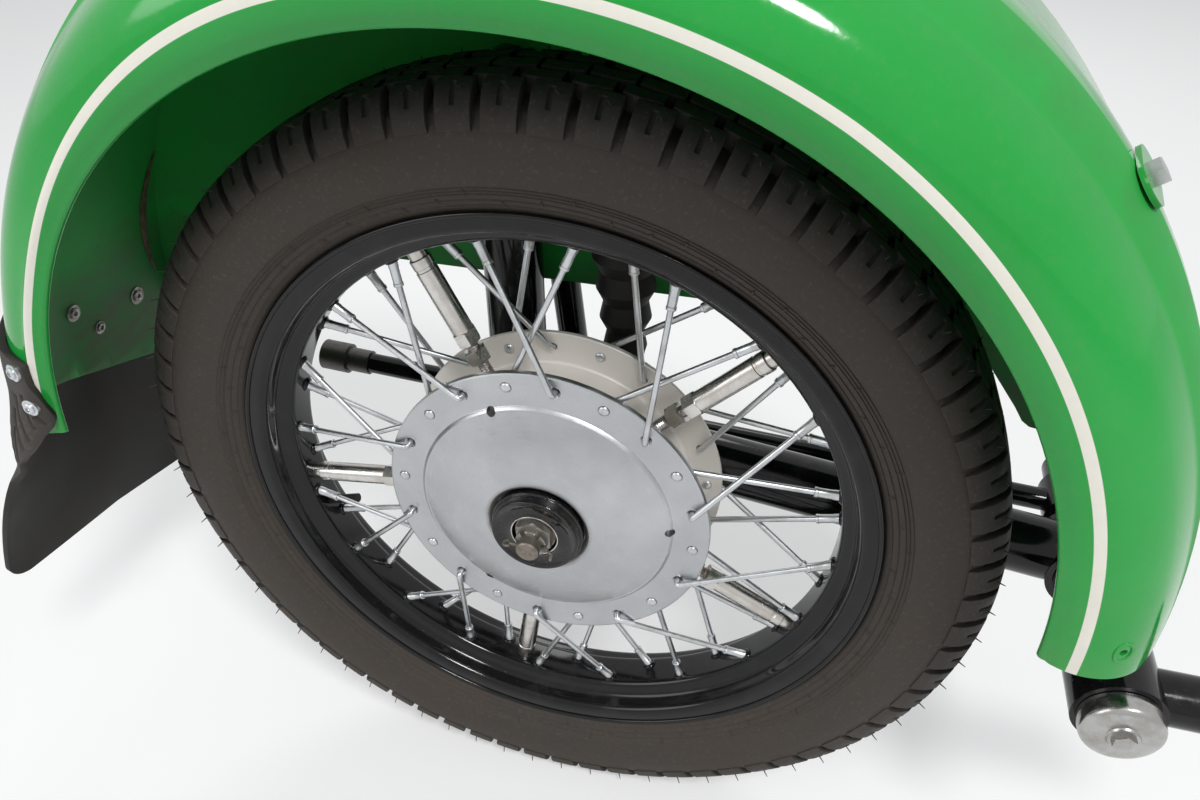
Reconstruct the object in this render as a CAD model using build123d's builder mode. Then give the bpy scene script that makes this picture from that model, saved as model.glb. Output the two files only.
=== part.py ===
from build123d import *
from math import cos, radians, sin, sqrt
import os

# The wheel corner of a motorcycle sidecar: spoked wheel, stub axle on its trailing arm, shock
# absorber, chassis tubes, mudguard and mud flap. Millimetres. +X is forward, +Y points inboard
# towards the motorcycle and +Z is up. The origin is on the cross tube's axis at its inboard end.
# Places are given from the wheel's centre as forward, outboard and up distances.

# Layout
arm_reach = 428.0
pivot_drop = 51.0
cross_tube_reach = 200.0

# Tyre
tyre_radius = 340.0
tyre_half_width = 49.5
tyre_upper_wall_inset = 2.5
tyre_shoulder_drop = 9.0
tyre_shoulder_inset = 10.5
tyre_wall = 6.0
tyre_tread_depth = 15.0

# Rim, a drop-centre section
rim_lip_radius = 255.0
rim_lip_half_width = 35.7
rim_bead_seat_radius = 240.0
rim_well_radius = 229.0
rim_well_half_width = 13.5
rim_ledge_half_width = 20.0
rim_sheet = 2.5
rim_bead_radius = 2.2
bead_gap = 0.3
bead_chamfer = 6.0

# Hub
flange_radius = 131.5
flange_face = 31.0
flange_thickness = 5.0
flange_edge_chamfer = 1.4
barrel_radius = 104.0
barrel_wall = 6.0
dome_step_radius = 102.0
dome_step_height = 2.5
dome_top = 50.0
dome_opening_radius = 37.5
dome_mouth_chamfer = 3.5
dome_wall = 6.0
seal_floor = 42.0
carrier_radius = 31.0
cover_hole_radius = 3.8
cover_hole_circle = 101.0
cover_hole_angles = (112.0, 2.5, -121.5)

# Spokes
spokes_per_set = 10
spoke_radius = 2.4
spoke_hole_circle = 119.3
spoke_hole_radius = 2.8
spoke_head_radius = 4.3
spoke_head_height = 2.2
spoke_elbow_radius = 3.4
spoke_lean = 18.0
outer_wire_stand = 8.4
inner_wire_stand = 5.3
first_near_hole = 120.4
half_pitch = 9.0
nipple_offset = 7.5
nipple_radius = 3.8
nipple_length = 20.0
nipple_head_radius = 5.2
nipple_head_height = 3.0
nipple_clearance = 0.5
nipple_seat_rise = 2.3
valve_angle = 196.9
valve_radius = 4.0
valve_length = 30.0

# Struts between barrel and rim
strut_count = 5
strut_first_angle = 116.2
strut_rod_radius = 5.0
strut_nut_flats = 17.0
strut_nut_height = 11.0
strut_nut_start = 132.0
strut_sleeve_start = 144.5
strut_sleeve_radius = 8.4
strut_stub_start = 219.0
strut_stub_radius = 7.0

# Axle and bearings
axle_radius = 10.0
axle_thread_radius = 9.0
axle_end = 77.0
running_clearance = 0.05
bearing_radius = 23.5
bearing_width = 14.0
far_bearing_outboard = -24.0
nut_flats = 27.0
nut_hex_height = 12.0
nut_crown_height = 6.8
nut_seat = 55.5
washer_radius = 16.5
washer_thickness = 3.0
cotter_radius = 1.5
seal_radius = 35.5
seal_bore_radius = 20.0
seal_face_radius = 34.0
seal_stand = 10.0
side_gap = 0.3
plate_gap = 6.0
plate_seat_radius = 20.0
plate_radius = 95.0
plate_thickness = 3.0

# Trailing arm and pivot
arm_outboard = -82.0
arm_radius = 25.5
arm_boss_radius = 33.0
arm_boss_half_width = 26.0
cross_tube_radius = 22.0
cross_tube_wall = 4.0
cross_spigot_radius = 20.0
cross_spigot_length = 28.0
bush_radius = 27.0
pivot_housing_radius = 31.0
pivot_housing_inner = 18.0
pivot_housing_outer = 72.0
cap_radius = 27.5
cap_height = 18.0
cap_wall_height = 12.0
cap_face_radius = 20.0
cap_boss_radius = 10.5
cap_boss_height = 1.5
cap_bolt_flats = 14.0
cap_bolt_height = 7.0
cap_bolt_radius = 5.9
side_tube_outboard = 47.0
side_tube_radius = 19.5
side_tube_wall = 6.0
side_tube_length = 150.0
side_spigot_radius = 17.5
side_spigot_length = 34.0

# Chassis rail and shock tower
rail_outboard = -148.0
rail_radius = 10.0
rail_rear = -288.0
rail_rear_up = -15.0
rail_sleeve_radius = 15.0
rail_sleeve_length = 46.0
rail_sleeve_step_radius = 12.0
tower_radius = 13.0
tower_forward = -20.0
tower_top = 322.0

# Shock absorber
shock_forward = -57.0
shock_eye_up = -6.0
shock_top_up = 306.0
shock_cover_radius = 24.0
shock_cover_bottom = 62.0
shock_cover_top = 284.0
shock_rod_radius = 17.0
shock_eye_radius = 15.0
shock_eye_half_width = 14.0
shock_pin_radius = 7.0
shock_bore_depth = 61.0
fork_plate = 8.0
fork_radius = 19.0
fork_gap = 0.4

# Bump buffer
buffer_forward = 36.0
buffer_tip_up = 82.0
buffer_top_up = 190.0
buffer_tip_radius = 15.0
buffer_top_radius = 27.0
buffer_ribs = 4
buffer_plate_width = 64.0
buffer_plate_height = 52.0
buffer_shelf_thickness = 6.0
buffer_shelf_reach = 62.0

# Mudguard
guard_centre_up = 44.0
guard_sheet = 2.0
guard_crown_radius = 430.0
guard_crown_outboard = 2.0
guard_haunch_drop = 11.0
guard_haunch_inset = 38.0
guard_shoulder_drop = 29.0
guard_shoulder_inset = 6.0
guard_bulge_drop = 58.0
guard_bulge_stand = 9.0
guard_lip_drop = 87.0
guard_lip_outboard = 121.3
guard_wall_outboard = -116.0
guard_bead_radius = 4.0
guard_rear_angle = 186.0
guard_rear_cut_lip_up = 79.0
guard_rear_cut_slope = 0.342
cut_margin = 20.0
guard_wall_bottom = 125.0
guard_wall_sheet = 2.0
front_hole_radius = 4.5
front_hole_angle = 3.0
front_hole_outboard = 92.0
tab_angle = 40.0
tab_outboard = 42.0
tab_bolt_radius = 4.0

# Mud flap
flap_thickness = 5.5
flap_gap = 0.4
flap_hug_angle = 20.0
flap_inset = 6.0
flap_lip_share = 0.147
flap_seam_share = 0.794
flap_lip_edge_up = 88.0
# columns: forward, up
flap_top_edge = ((-339.0, 110.0), (-347.0, 149.0), (-354.0, 190.0))
flap_waist_up = -34.0
flap_bottom_up = -125.0
flap_corner = 22.0
# columns: outboard, then how far behind the crown at the waist and at the foot
flap_flare = (
    (121.3, 14.0, 52.0),
    (64.0, 12.0, 43.0),
    (2.0, 7.0, 34.0),
    (-110.0, 1.0, 4.0),
)

hub_x = -arm_reach
hub_y = -cross_tube_reach
hub_z = pivot_drop

os.makedirs("parts", exist_ok=True)


def place(forward, outboard, up):
    """A point given from the wheel's centre, in the part's own frame."""
    return Vector(hub_x + forward, hub_y - outboard, hub_z + up)


def across(outboard, forward=0.0, up=0.0):
    """A plane square to the axle that faces outboard: local x is forward and local y is up."""
    return Plane(origin=place(forward, outboard, up), x_dir=(1, 0, 0), z_dir=(0, -1, 0))


def half_section(forward=0.0, up=0.0):
    """A plane through a crosswise axis: local x is the radius and local y is outboard."""
    return Plane(origin=place(forward, 0, up), x_dir=(1, 0, 0), z_dir=(0, 0, -1))


def crosswise_axis(forward=0.0, up=0.0):
    return Axis(place(forward, 0, up), (0, -1, 0))


def polar(radius, angle):
    """Forward and up distances of a point on a circle about the axle."""
    return radius * cos(radians(angle)), radius * sin(radians(angle))


def turned(corners, forward=0.0, up=0.0, mode=Mode.ADD):
    """Revolve a closed outline of (radius, outboard) corners about a crosswise axis."""
    with BuildSketch(half_section(forward, up)) as outline:
        with BuildLine():
            Polyline(*corners, close=True)
        make_face()
    revolve(outline.sketch, axis=crosswise_axis(forward, up), mode=mode)


def bar(start, end, radius, bore=0.0, mode=Mode.ADD):
    """A round bar from one point to another, or a tube where it has a bore."""
    run = end - start
    with BuildSketch(Plane(origin=start, z_dir=run)) as end_face:
        Circle(radius)
        if bore:
            Circle(bore, mode=Mode.SUBTRACT)
    extrude(end_face.sketch, amount=run.length, mode=mode)


def hexagon_bar(start, end, flats, bore=0.0):
    """A hexagonal bar from one point to another, with a round bore where one is given."""
    run = end - start
    with BuildSketch(Plane(origin=start, z_dir=run)) as end_face:
        RegularPolygon(flats / 2, 6, major_radius=False)
        if bore:
            Circle(bore, mode=Mode.SUBTRACT)
    extrude(end_face.sketch, amount=run.length)


def finish(block, name):
    block.part.label = name
    export_step(block.part, f"parts/{name}.step")


# Tyre: bead, sidewall and crown outside, an open cavity inside
bead_foot = rim_bead_seat_radius + rim_sheet + bead_gap
bead_side = rim_lip_half_width - rim_sheet - bead_gap
lip_clear = rim_lip_radius + rim_bead_radius + 2 * bead_gap
tyre_widest_radius = (rim_lip_radius + tyre_radius) / 2
tyre_shoulder_radius = tyre_radius - tyre_shoulder_drop
tyre_shoulder_half = tyre_half_width - tyre_shoulder_inset
cavity_top = tyre_radius - tyre_tread_depth
# columns: radius, outboard
tyre_outside = [
    (bead_foot, rim_ledge_half_width),
    (bead_foot, bead_side - bead_chamfer),
    (bead_foot + bead_chamfer, bead_side),
    (lip_clear, bead_side),
    (tyre_widest_radius, tyre_half_width),
    ((tyre_widest_radius + tyre_shoulder_radius) / 2, tyre_half_width - tyre_upper_wall_inset),
    (tyre_shoulder_radius, tyre_shoulder_half),
    (tyre_radius, 0),
]
tyre_inside = [
    (cavity_top, tyre_shoulder_half - tyre_wall),
    (tyre_widest_radius, tyre_half_width - tyre_wall),
]
with BuildPart() as tyre:
    far_outside = [(radius, -outboard) for radius, outboard in reversed(tyre_outside[:-1])]
    far_inside = [(radius, -outboard) for radius, outboard in reversed(tyre_inside)]
    turned(tyre_outside + far_outside + far_inside + tyre_inside)
finish(tyre, "tyre")

# Spoke places: the hole in the flange, the nipple's seat in the rim and which face the wire lies on
# columns: name, side (1 near, -1 far), first hole angle, lean, face (1 outer, -1 inner)
spoke_sets = (
    ("spokes_near_outer", 1, first_near_hole, spoke_lean, 1),
    ("spokes_near_inner", 1, first_near_hole - spoke_lean, -spoke_lean, -1),
    ("spokes_far_outer", -1, first_near_hole - half_pitch, -spoke_lean, 1),
    ("spokes_far_inner", -1, first_near_hole - half_pitch - spoke_lean, spoke_lean, -1),
)
flange_middle = flange_face - flange_thickness / 2
wire_stands = {1: outer_wire_stand, -1: inner_wire_stand}
well_inner_radius = rim_well_radius - rim_sheet


def spoke_points(side, angle, lean, face):
    """Head, elbow and seat points of one spoke."""
    hole = polar(spoke_hole_circle, angle)
    seat = polar(well_inner_radius, angle + lean)
    head = place(hole[0], side * (flange_middle - face * flange_thickness / 2), hole[1])
    elbow = place(hole[0], side * (flange_middle + face * wire_stands[face]), hole[1])
    return head, elbow, place(seat[0], side * nipple_offset, seat[1])


def spoke_angles(first):
    return [first + 360 / spokes_per_set * number for number in range(spokes_per_set)]


for name, side, first, lean, face in spoke_sets:
    with BuildPart() as spokes:
        for angle in spoke_angles(first):
            head, elbow, seat = spoke_points(side, angle, lean, face)
            along = (seat - elbow).normalized()
            wire_end = seat - along * (nipple_length / 2)
            with BuildLine():
                FilletPolyline(head, elbow, wire_end, radius=spoke_elbow_radius)
            with BuildSketch(Plane(origin=head, z_dir=elbow - head)):
                Circle(spoke_radius)
            sweep()
            bar(head, head - (elbow - head).normalized() * spoke_head_height, spoke_head_radius)
    finish(spokes, name)

# Nipples: a long shank inside the rim and a head on the tyre's side of it
for row, side in (("near", 1), ("far", -1)):
    with BuildPart() as nipples:
        for name, set_side, first, lean, face in spoke_sets:
            if set_side != side:
                continue
            for angle in spoke_angles(first):
                head, elbow, seat = spoke_points(side, angle, lean, face)
                along = (seat - elbow).normalized()
                collar = seat + along * (rim_sheet + nipple_seat_rise)
                bar(seat - along * nipple_length, collar, nipple_radius)
                bar(collar, collar + along * nipple_head_height, nipple_head_radius)
                bar(
                    seat - along * (nipple_length + 1),
                    seat - along * (nipple_length / 2),
                    spoke_radius + 0.1,
                    mode=Mode.SUBTRACT,
                )
    finish(nipples, f"nipples_{row}")

# Rim: a band of even thickness with a rolled lip, pierced for the nipples and the valve
# columns: radius and outboard on the hub's side, radius and outboard on the tyre's side
flange_in = rim_lip_half_width - rim_sheet
rim_outline = (
    (rim_lip_radius, rim_lip_half_width, rim_lip_radius, flange_in),
    (rim_bead_seat_radius + 4, rim_lip_half_width - 0.4, rim_bead_seat_radius + 6, flange_in),
    (rim_bead_seat_radius, flange_in - 1, rim_bead_seat_radius + rim_sheet, flange_in - 4),
    (
        rim_bead_seat_radius - 1.5,
        rim_ledge_half_width,
        rim_bead_seat_radius + rim_sheet - 1.5,
        rim_ledge_half_width - 1.5,
    ),
    (well_inner_radius, rim_well_half_width + 2, rim_well_radius, rim_well_half_width),
)
with BuildPart() as rim:
    hub_side = [(row[0], row[1]) for row in rim_outline]
    tyre_side = [(row[2], row[3]) for row in rim_outline]
    hub_side += [(radius, -outboard) for radius, outboard in reversed(hub_side)]
    tyre_side += [(radius, -outboard) for radius, outboard in reversed(tyre_side)]
    turned(hub_side + list(reversed(tyre_side)))
    for side in (1, -1):
        with BuildSketch(half_section()):
            with Locations((rim_lip_radius, side * (flange_in + rim_bead_radius + 0.1))):
                Circle(rim_bead_radius)
        revolve(axis=crosswise_axis())
    for name, side, first, lean, face in spoke_sets:
        for angle in spoke_angles(first):
            head, elbow, seat = spoke_points(side, angle, lean, face)
            along = (seat - elbow).normalized()
            bar(
                seat - along * 6,
                seat + along * 9,
                nipple_radius + nipple_clearance,
                mode=Mode.SUBTRACT,
            )
    inner, outer = polar(well_inner_radius - 6, valve_angle), polar(well_inner_radius + 8, valve_angle)
    bar(
        place(inner[0], 0, inner[1]),
        place(outer[0], 0, outer[1]),
        valve_radius + 0.2,
        mode=Mode.SUBTRACT,
    )
finish(rim, "rim")

with BuildPart() as valve_stem:
    foot = polar(rim_well_radius + 2, valve_angle)
    tip = polar(well_inner_radius - valve_length, valve_angle)
    bar(place(foot[0], 0, foot[1]), place(tip[0], 0, tip[1]), valve_radius)
finish(valve_stem, "valve_stem")

# Hub: barrel, two flanges, domed outboard face and bearing carrier in one casting
dome_edge = flange_face + dome_step_height
mouth_radius = dome_opening_radius + dome_mouth_chamfer
flange_rim_radius = flange_radius - flange_edge_chamfer
with BuildPart() as hub_shell:
    with BuildSketch(half_section()):
        with BuildLine():
            Line((flange_rim_radius, flange_face), (dome_step_radius, flange_face))
            Line((dome_step_radius, flange_face), (dome_step_radius - 1.5, dome_edge))
            ThreePointArc(
                (dome_step_radius - 1.5, dome_edge),
                (dome_step_radius * 0.68, dome_edge + (dome_top - dome_edge) * 0.66),
                (mouth_radius, dome_top),
            )
            Line((mouth_radius, dome_top), (dome_opening_radius, dome_top - dome_mouth_chamfer))
            Line(
                (dome_opening_radius, dome_top - dome_mouth_chamfer),
                (dome_opening_radius - 1, seal_floor),
            )
            Line((dome_opening_radius - 1, seal_floor), (bearing_radius, seal_floor))
            Line((bearing_radius, seal_floor), (bearing_radius, far_bearing_outboard))
            Line((bearing_radius, far_bearing_outboard), (carrier_radius, far_bearing_outboard))
            Line((carrier_radius, far_bearing_outboard), (carrier_radius, seal_floor - 8))
            Line(
                (carrier_radius, seal_floor - 8),
                (barrel_radius - barrel_wall, flange_face - dome_wall),
            )
            Line(
                (barrel_radius - barrel_wall, flange_face - dome_wall),
                (barrel_radius - barrel_wall, -flange_face),
            )
            Line((barrel_radius - barrel_wall, -flange_face), (flange_rim_radius, -flange_face))
            Line(
                (flange_rim_radius, -flange_face),
                (flange_radius, -flange_face + flange_edge_chamfer),
            )
            Line(
                (flange_radius, -flange_face + flange_edge_chamfer),
                (flange_radius, -flange_face + flange_thickness),
            )
            Line(
                (flange_radius, -flange_face + flange_thickness),
                (barrel_radius, -flange_face + flange_thickness),
            )
            Line(
                (barrel_radius, -flange_face + flange_thickness),
                (barrel_radius, flange_face - flange_thickness),
            )
            Line(
                (barrel_radius, flange_face - flange_thickness),
                (flange_radius, flange_face - flange_thickness),
            )
            Line(
                (flange_radius, flange_face - flange_thickness),
                (flange_radius, flange_face - flange_edge_chamfer),
            )
            Line(
                (flange_radius, flange_face - flange_edge_chamfer),
                (flange_rim_radius, flange_face),
            )
        make_face()
    revolve(axis=crosswise_axis())
    for face_out, first in ((flange_face, first_near_hole), (-flange_middle + 5, first_near_hole - half_pitch)):
        with BuildSketch(across(face_out + 3)):
            with PolarLocations(spoke_hole_circle, 2 * spokes_per_set, start_angle=first):
                Circle(spoke_hole_radius)
        extrude(amount=-(flange_thickness + 8), mode=Mode.SUBTRACT)
    with BuildSketch(across(dome_top)):
        with Locations([polar(cover_hole_circle, angle) for angle in cover_hole_angles]):
            Circle(cover_hole_radius)
    extrude(amount=-40, mode=Mode.SUBTRACT)
    for number in range(strut_count):
        angle = strut_first_angle + 360 / strut_count * number
        inner = polar(barrel_radius - barrel_wall - 4, angle)
        outer = polar(barrel_radius + 5, angle)
        bar(
            place(inner[0], 0, inner[1]),
            place(outer[0], 0, outer[1]),
            strut_rod_radius + 0.1,
            mode=Mode.SUBTRACT,
        )
finish(hub_shell, "hub_shell")

with BuildPart() as hub_bearings:
    for outer_face in (seal_floor, far_bearing_outboard + bearing_width):
        turned((
            (axle_radius + running_clearance, outer_face),
            (bearing_radius, outer_face),
            (bearing_radius, outer_face - bearing_width),
            (axle_radius + running_clearance, outer_face - bearing_width),
        ))
finish(hub_bearings, "hub_bearings")

with BuildPart() as hub_seal:
    turned((
        (seal_bore_radius, seal_floor),
        (seal_bore_radius, dome_top + seal_stand),
        (seal_face_radius, dome_top + seal_stand),
        (seal_radius, dome_top),
        (seal_radius, seal_floor),
    ))
finish(hub_seal, "hub_seal")

# Struts: threaded rods from the barrel, lock nuts, and sleeves that reach the rim's well
strut_angles = [strut_first_angle + 360 / strut_count * number for number in range(strut_count)]


def radial_point(radius, angle):
    forward, up = polar(radius, angle)
    return place(forward, 0, up)


with BuildPart() as strut_rods:
    for angle in strut_angles:
        start = radial_point(barrel_radius - barrel_wall + 1, angle)
        bar(start, radial_point(strut_sleeve_start + 20, angle), strut_rod_radius)
finish(strut_rods, "strut_rods")

with BuildPart() as strut_nuts:
    for angle in strut_angles:
        start = radial_point(strut_nut_start, angle)
        end = radial_point(strut_nut_start + strut_nut_height, angle)
        hexagon_bar(start, end, strut_nut_flats, strut_rod_radius + 0.1)
finish(strut_nuts, "strut_nuts")

with BuildPart() as strut_sleeves:
    for angle in strut_angles:
        hexagon_end = strut_sleeve_start + strut_nut_height
        hexagon_bar(
            radial_point(strut_sleeve_start, angle),
            radial_point(hexagon_end, angle),
            strut_nut_flats,
        )
        bar(
            radial_point(hexagon_end, angle),
            radial_point(strut_stub_start, angle),
            strut_sleeve_radius,
        )
        bar(
            radial_point(strut_stub_start, angle),
            radial_point(well_inner_radius - 0.1, angle),
            strut_stub_radius,
        )
        bar(
            radial_point(strut_sleeve_start - 1, angle),
            radial_point(strut_sleeve_start + 20.5, angle),
            strut_rod_radius + 0.1,
            mode=Mode.SUBTRACT,
        )
finish(strut_sleeves, "strut_sleeves")

# Stub axle with its shoulder, spacer, washer, castle nut and cotter pin
collar_face = far_bearing_outboard - side_gap
plate_face = -flange_face - plate_gap
arm_outer_face = arm_outboard + arm_boss_half_width
arm_inner_face = arm_outboard - arm_boss_half_width
with BuildPart() as stub_axle:
    turned((
        (0, axle_end),
        (axle_thread_radius - 1, axle_end),
        (axle_thread_radius, axle_end - 1),
        (axle_thread_radius, seal_floor + side_gap + 2),
        (axle_radius, seal_floor + side_gap + 2),
        (axle_radius, collar_face),
        (16, collar_face),
        (16, plate_face + 3),
        (plate_seat_radius, plate_face + 3),
        (plate_seat_radius, arm_outer_face),
        (14, arm_outer_face),
        (14, arm_inner_face - 20),
        (0, arm_inner_face - 20),
    ))
    cotter_out = nut_seat + nut_hex_height + nut_crown_height / 2
    bar(
        place(-20, cotter_out, 0),
        place(20, cotter_out, 0),
        cotter_radius + 0.3,
        mode=Mode.SUBTRACT,
    )
finish(stub_axle, "stub_axle")

with BuildPart() as axle_spacer:
    turned((
        (axle_thread_radius + 0.1, seal_floor + side_gap + 2),
        (14, seal_floor + side_gap + 2),
        (14, nut_seat - washer_thickness),
        (axle_thread_radius + 0.1, nut_seat - washer_thickness),
    ))
    turned((
        (axle_radius + 0.1, seal_floor + side_gap),
        (14, seal_floor + side_gap),
        (14, seal_floor + side_gap + 2),
        (axle_radius + 0.1, seal_floor + side_gap + 2),
    ))
finish(axle_spacer, "axle_spacer")

with BuildPart() as axle_washer:
    turned((
        (axle_thread_radius + 0.1, nut_seat - washer_thickness),
        (washer_radius, nut_seat - washer_thickness),
        (washer_radius, nut_seat),
        (axle_thread_radius + 0.1, nut_seat),
    ))
finish(axle_washer, "axle_washer")

with BuildPart() as axle_nut:
    nut_top = nut_seat + nut_hex_height
    hexagon_bar(place(0, nut_seat, 0), place(0, nut_top, 0), nut_flats, axle_thread_radius + 0.1)
    bar(
        place(0, nut_top, 0),
        place(0, nut_top + nut_crown_height, 0),
        nut_flats / 2 - 1,
        axle_thread_radius + 0.1,
    )
    with BuildSketch(across(nut_top + nut_crown_height)):
        for turn in (0, 60, 120):
            Rectangle(nut_flats + 2, 2 * cotter_radius + 1.2, rotation=turn)
    extrude(amount=-nut_crown_height, mode=Mode.SUBTRACT)
finish(axle_nut, "axle_nut")

with BuildPart() as cotter_pin:
    bar(place(-nut_flats / 2 - 2, cotter_out, 0), place(nut_flats / 2 + 1, cotter_out, 0), cotter_radius)
    for turn in (35, -35):
        bend = place(nut_flats / 2 - 0.5, cotter_out, 0)
        leg = Vector(6 * cos(radians(turn)), 0, 10 * sin(radians(turn)))
        bar(bend, bend + leg, cotter_radius * 0.8)
finish(cotter_pin, "cotter_pin")

# Back plate that closes the open side of the hub
with BuildPart() as back_plate:
    turned((
        (plate_seat_radius + 0.05, plate_face - plate_thickness),
        (plate_seat_radius + 0.05, plate_face),
        (plate_radius, plate_face),
        (plate_radius, plate_face - plate_thickness),
    ))
finish(back_plate, "back_plate")

# Trailing arm: a tube between the pivot boss and the axle boss, with a fork for the shock
arm_pivot = place(arm_reach, arm_outboard, -pivot_drop)
arm_axle = place(0, arm_outboard, 0)
shock_eye = (shock_forward, shock_eye_up)
with BuildPart() as trailing_arm:
    bar(arm_axle, arm_pivot, arm_radius)
    for centre in ((0, 0), (arm_reach, -pivot_drop)):
        bar(
            place(centre[0], arm_outer_face, centre[1]),
            place(centre[0], arm_inner_face, centre[1]),
            arm_boss_radius,
        )
    for side in (1, -1):
        inner = arm_outboard + side * (shock_eye_half_width + fork_gap)
        with BuildSketch(across(inner)):
            with BuildLine():
                Polyline(
                    (0, arm_boss_radius - 6),
                    (shock_forward, shock_eye_up + fork_radius),
                    (shock_forward, shock_eye_up - fork_radius),
                    (0, -arm_boss_radius + 6),
                    close=True,
                )
            make_face()
            with Locations(shock_eye):
                Circle(fork_radius)
        extrude(amount=side * fork_plate)
    bar(
        place(arm_reach, arm_outer_face + 1, -pivot_drop),
        place(arm_reach, arm_inner_face - 1, -pivot_drop),
        bush_radius,
        mode=Mode.SUBTRACT,
    )
    bar(place(0, arm_outer_face + 1, 0), place(0, arm_inner_face - 1, 0), 14.05, mode=Mode.SUBTRACT)
    bar(
        place(shock_forward, arm_outer_face + 1, shock_eye_up),
        place(shock_forward, arm_inner_face - 1, shock_eye_up),
        shock_pin_radius + 0.05,
        mode=Mode.SUBTRACT,
    )
finish(trailing_arm, "trailing_arm")

with BuildPart() as axle_rear_nut:
    hexagon_bar(place(0, arm_inner_face - 14, 0), place(0, arm_inner_face, 0), 41, 14.1)
finish(axle_rear_nut, "axle_rear_nut")

with BuildPart() as arm_bush:
    bar(
        place(arm_reach, arm_outer_face + 2, -pivot_drop),
        place(arm_reach, arm_inner_face - 2, -pivot_drop),
        bush_radius - 0.05,
        cross_tube_radius + 0.05,
    )
finish(arm_bush, "arm_bush")

# Cross tube with its welded end housing, cap and bolt
with BuildPart() as cross_tube:
    spigot_foot = place(arm_reach, -cross_tube_reach + cross_spigot_length, -pivot_drop)
    cross_bore = cross_tube_radius - cross_tube_wall
    bar(
        spigot_foot,
        place(arm_reach, pivot_housing_outer - 6, -pivot_drop),
        cross_tube_radius,
        cross_bore,
    )
    bar(
        place(arm_reach, -cross_tube_reach, -pivot_drop),
        spigot_foot,
        cross_spigot_radius,
        cross_bore,
    )
finish(cross_tube, "cross_tube")

with BuildPart() as pivot_housing:
    bar(
        place(arm_reach, pivot_housing_inner, -pivot_drop),
        place(arm_reach, pivot_housing_outer, -pivot_drop),
        pivot_housing_radius,
        cross_tube_radius + 0.05,
    )
finish(pivot_housing, "pivot_housing")

with BuildPart() as pivot_cap:
    with BuildSketch(half_section(arm_reach, -pivot_drop)):
        cap_base = pivot_housing_outer
        cap_shoulder = cap_base + cap_wall_height
        cap_face = cap_base + cap_height
        with BuildLine():
            Line((6, cap_base), (cap_radius, cap_base))
            Line((cap_radius, cap_base), (cap_radius, cap_shoulder))
            ThreePointArc(
                (cap_radius, cap_shoulder),
                (cap_radius - 2.2, cap_shoulder + 4.2),
                (cap_face_radius, cap_face),
            )
            Line((cap_face_radius, cap_face), (cap_boss_radius, cap_face))
            Line((cap_boss_radius, cap_face), (cap_boss_radius, cap_face + cap_boss_height))
            Line((cap_boss_radius, cap_face + cap_boss_height), (6, cap_face + cap_boss_height))
            Line((6, cap_face + cap_boss_height), (6, cap_base))
        make_face()
    revolve(axis=crosswise_axis(arm_reach, -pivot_drop))
finish(pivot_cap, "pivot_cap")

with BuildPart() as pivot_bolt:
    bolt_face = cap_face + cap_boss_height
    hexagon_bar(
        place(arm_reach, bolt_face, -pivot_drop),
        place(arm_reach, bolt_face + cap_bolt_height, -pivot_drop),
        cap_bolt_flats,
    )
    bar(
        place(arm_reach, cap_base - 20, -pivot_drop),
        place(arm_reach, bolt_face, -pivot_drop),
        cap_bolt_radius,
    )
finish(pivot_bolt, "pivot_bolt")

with BuildPart() as side_tube:
    start_x = arm_reach + sqrt(pivot_housing_radius ** 2 - side_tube_radius ** 2)
    shoulder_x = arm_reach + side_tube_length - side_spigot_length
    side_bore = side_tube_radius - side_tube_wall
    bar(
        place(start_x, side_tube_outboard, -pivot_drop),
        place(shoulder_x, side_tube_outboard, -pivot_drop),
        side_tube_radius,
        side_bore,
    )
    bar(
        place(shoulder_x, side_tube_outboard, -pivot_drop),
        place(arm_reach + side_tube_length, side_tube_outboard, -pivot_drop),
        side_spigot_radius,
        side_bore,
    )
    bar(
        place(arm_reach, pivot_housing_inner, -pivot_drop),
        place(arm_reach, pivot_housing_outer, -pivot_drop),
        pivot_housing_radius + 0.05,
        mode=Mode.SUBTRACT,
    )
finish(side_tube, "side_tube")

# Chassis rail behind the wheel, its end sleeve and the tower that carries the shock's top pin
rail_slope = (rail_rear_up + pivot_drop) / (rail_rear - arm_reach)


def rail_up(forward):
    """Height of the rail's axis at a forward distance."""
    return rail_rear_up + (forward - rail_rear) * rail_slope


with BuildPart() as chassis_rail:
    bar(
        place(rail_rear, rail_outboard, rail_rear_up),
        place(arm_reach, rail_outboard, -pivot_drop),
        rail_radius,
    )
    bar(
        place(arm_reach, rail_outboard + 20, -pivot_drop),
        place(arm_reach, rail_outboard - 20, -pivot_drop),
        cross_tube_radius + 5,
    )
    bar(
        place(arm_reach, rail_outboard + 21, -pivot_drop),
        place(arm_reach, rail_outboard - 21, -pivot_drop),
        cross_tube_radius + 0.05,
        mode=Mode.SUBTRACT,
    )
finish(chassis_rail, "chassis_rail")

with BuildPart() as rail_end_sleeve:
    rear = place(rail_rear, rail_outboard, rail_rear_up)
    direction = (place(arm_reach, rail_outboard, -pivot_drop) - rear).normalized()
    bar(rear - direction * 4, rear + direction * rail_sleeve_length / 2, rail_sleeve_radius)
    bar(
        rear + direction * rail_sleeve_length / 2,
        rear + direction * rail_sleeve_length,
        rail_sleeve_step_radius,
    )
    bar(rear, rear + direction * (rail_sleeve_length + 1), rail_radius + 0.05, mode=Mode.SUBTRACT)
finish(rail_end_sleeve, "rail_end_sleeve")

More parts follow.
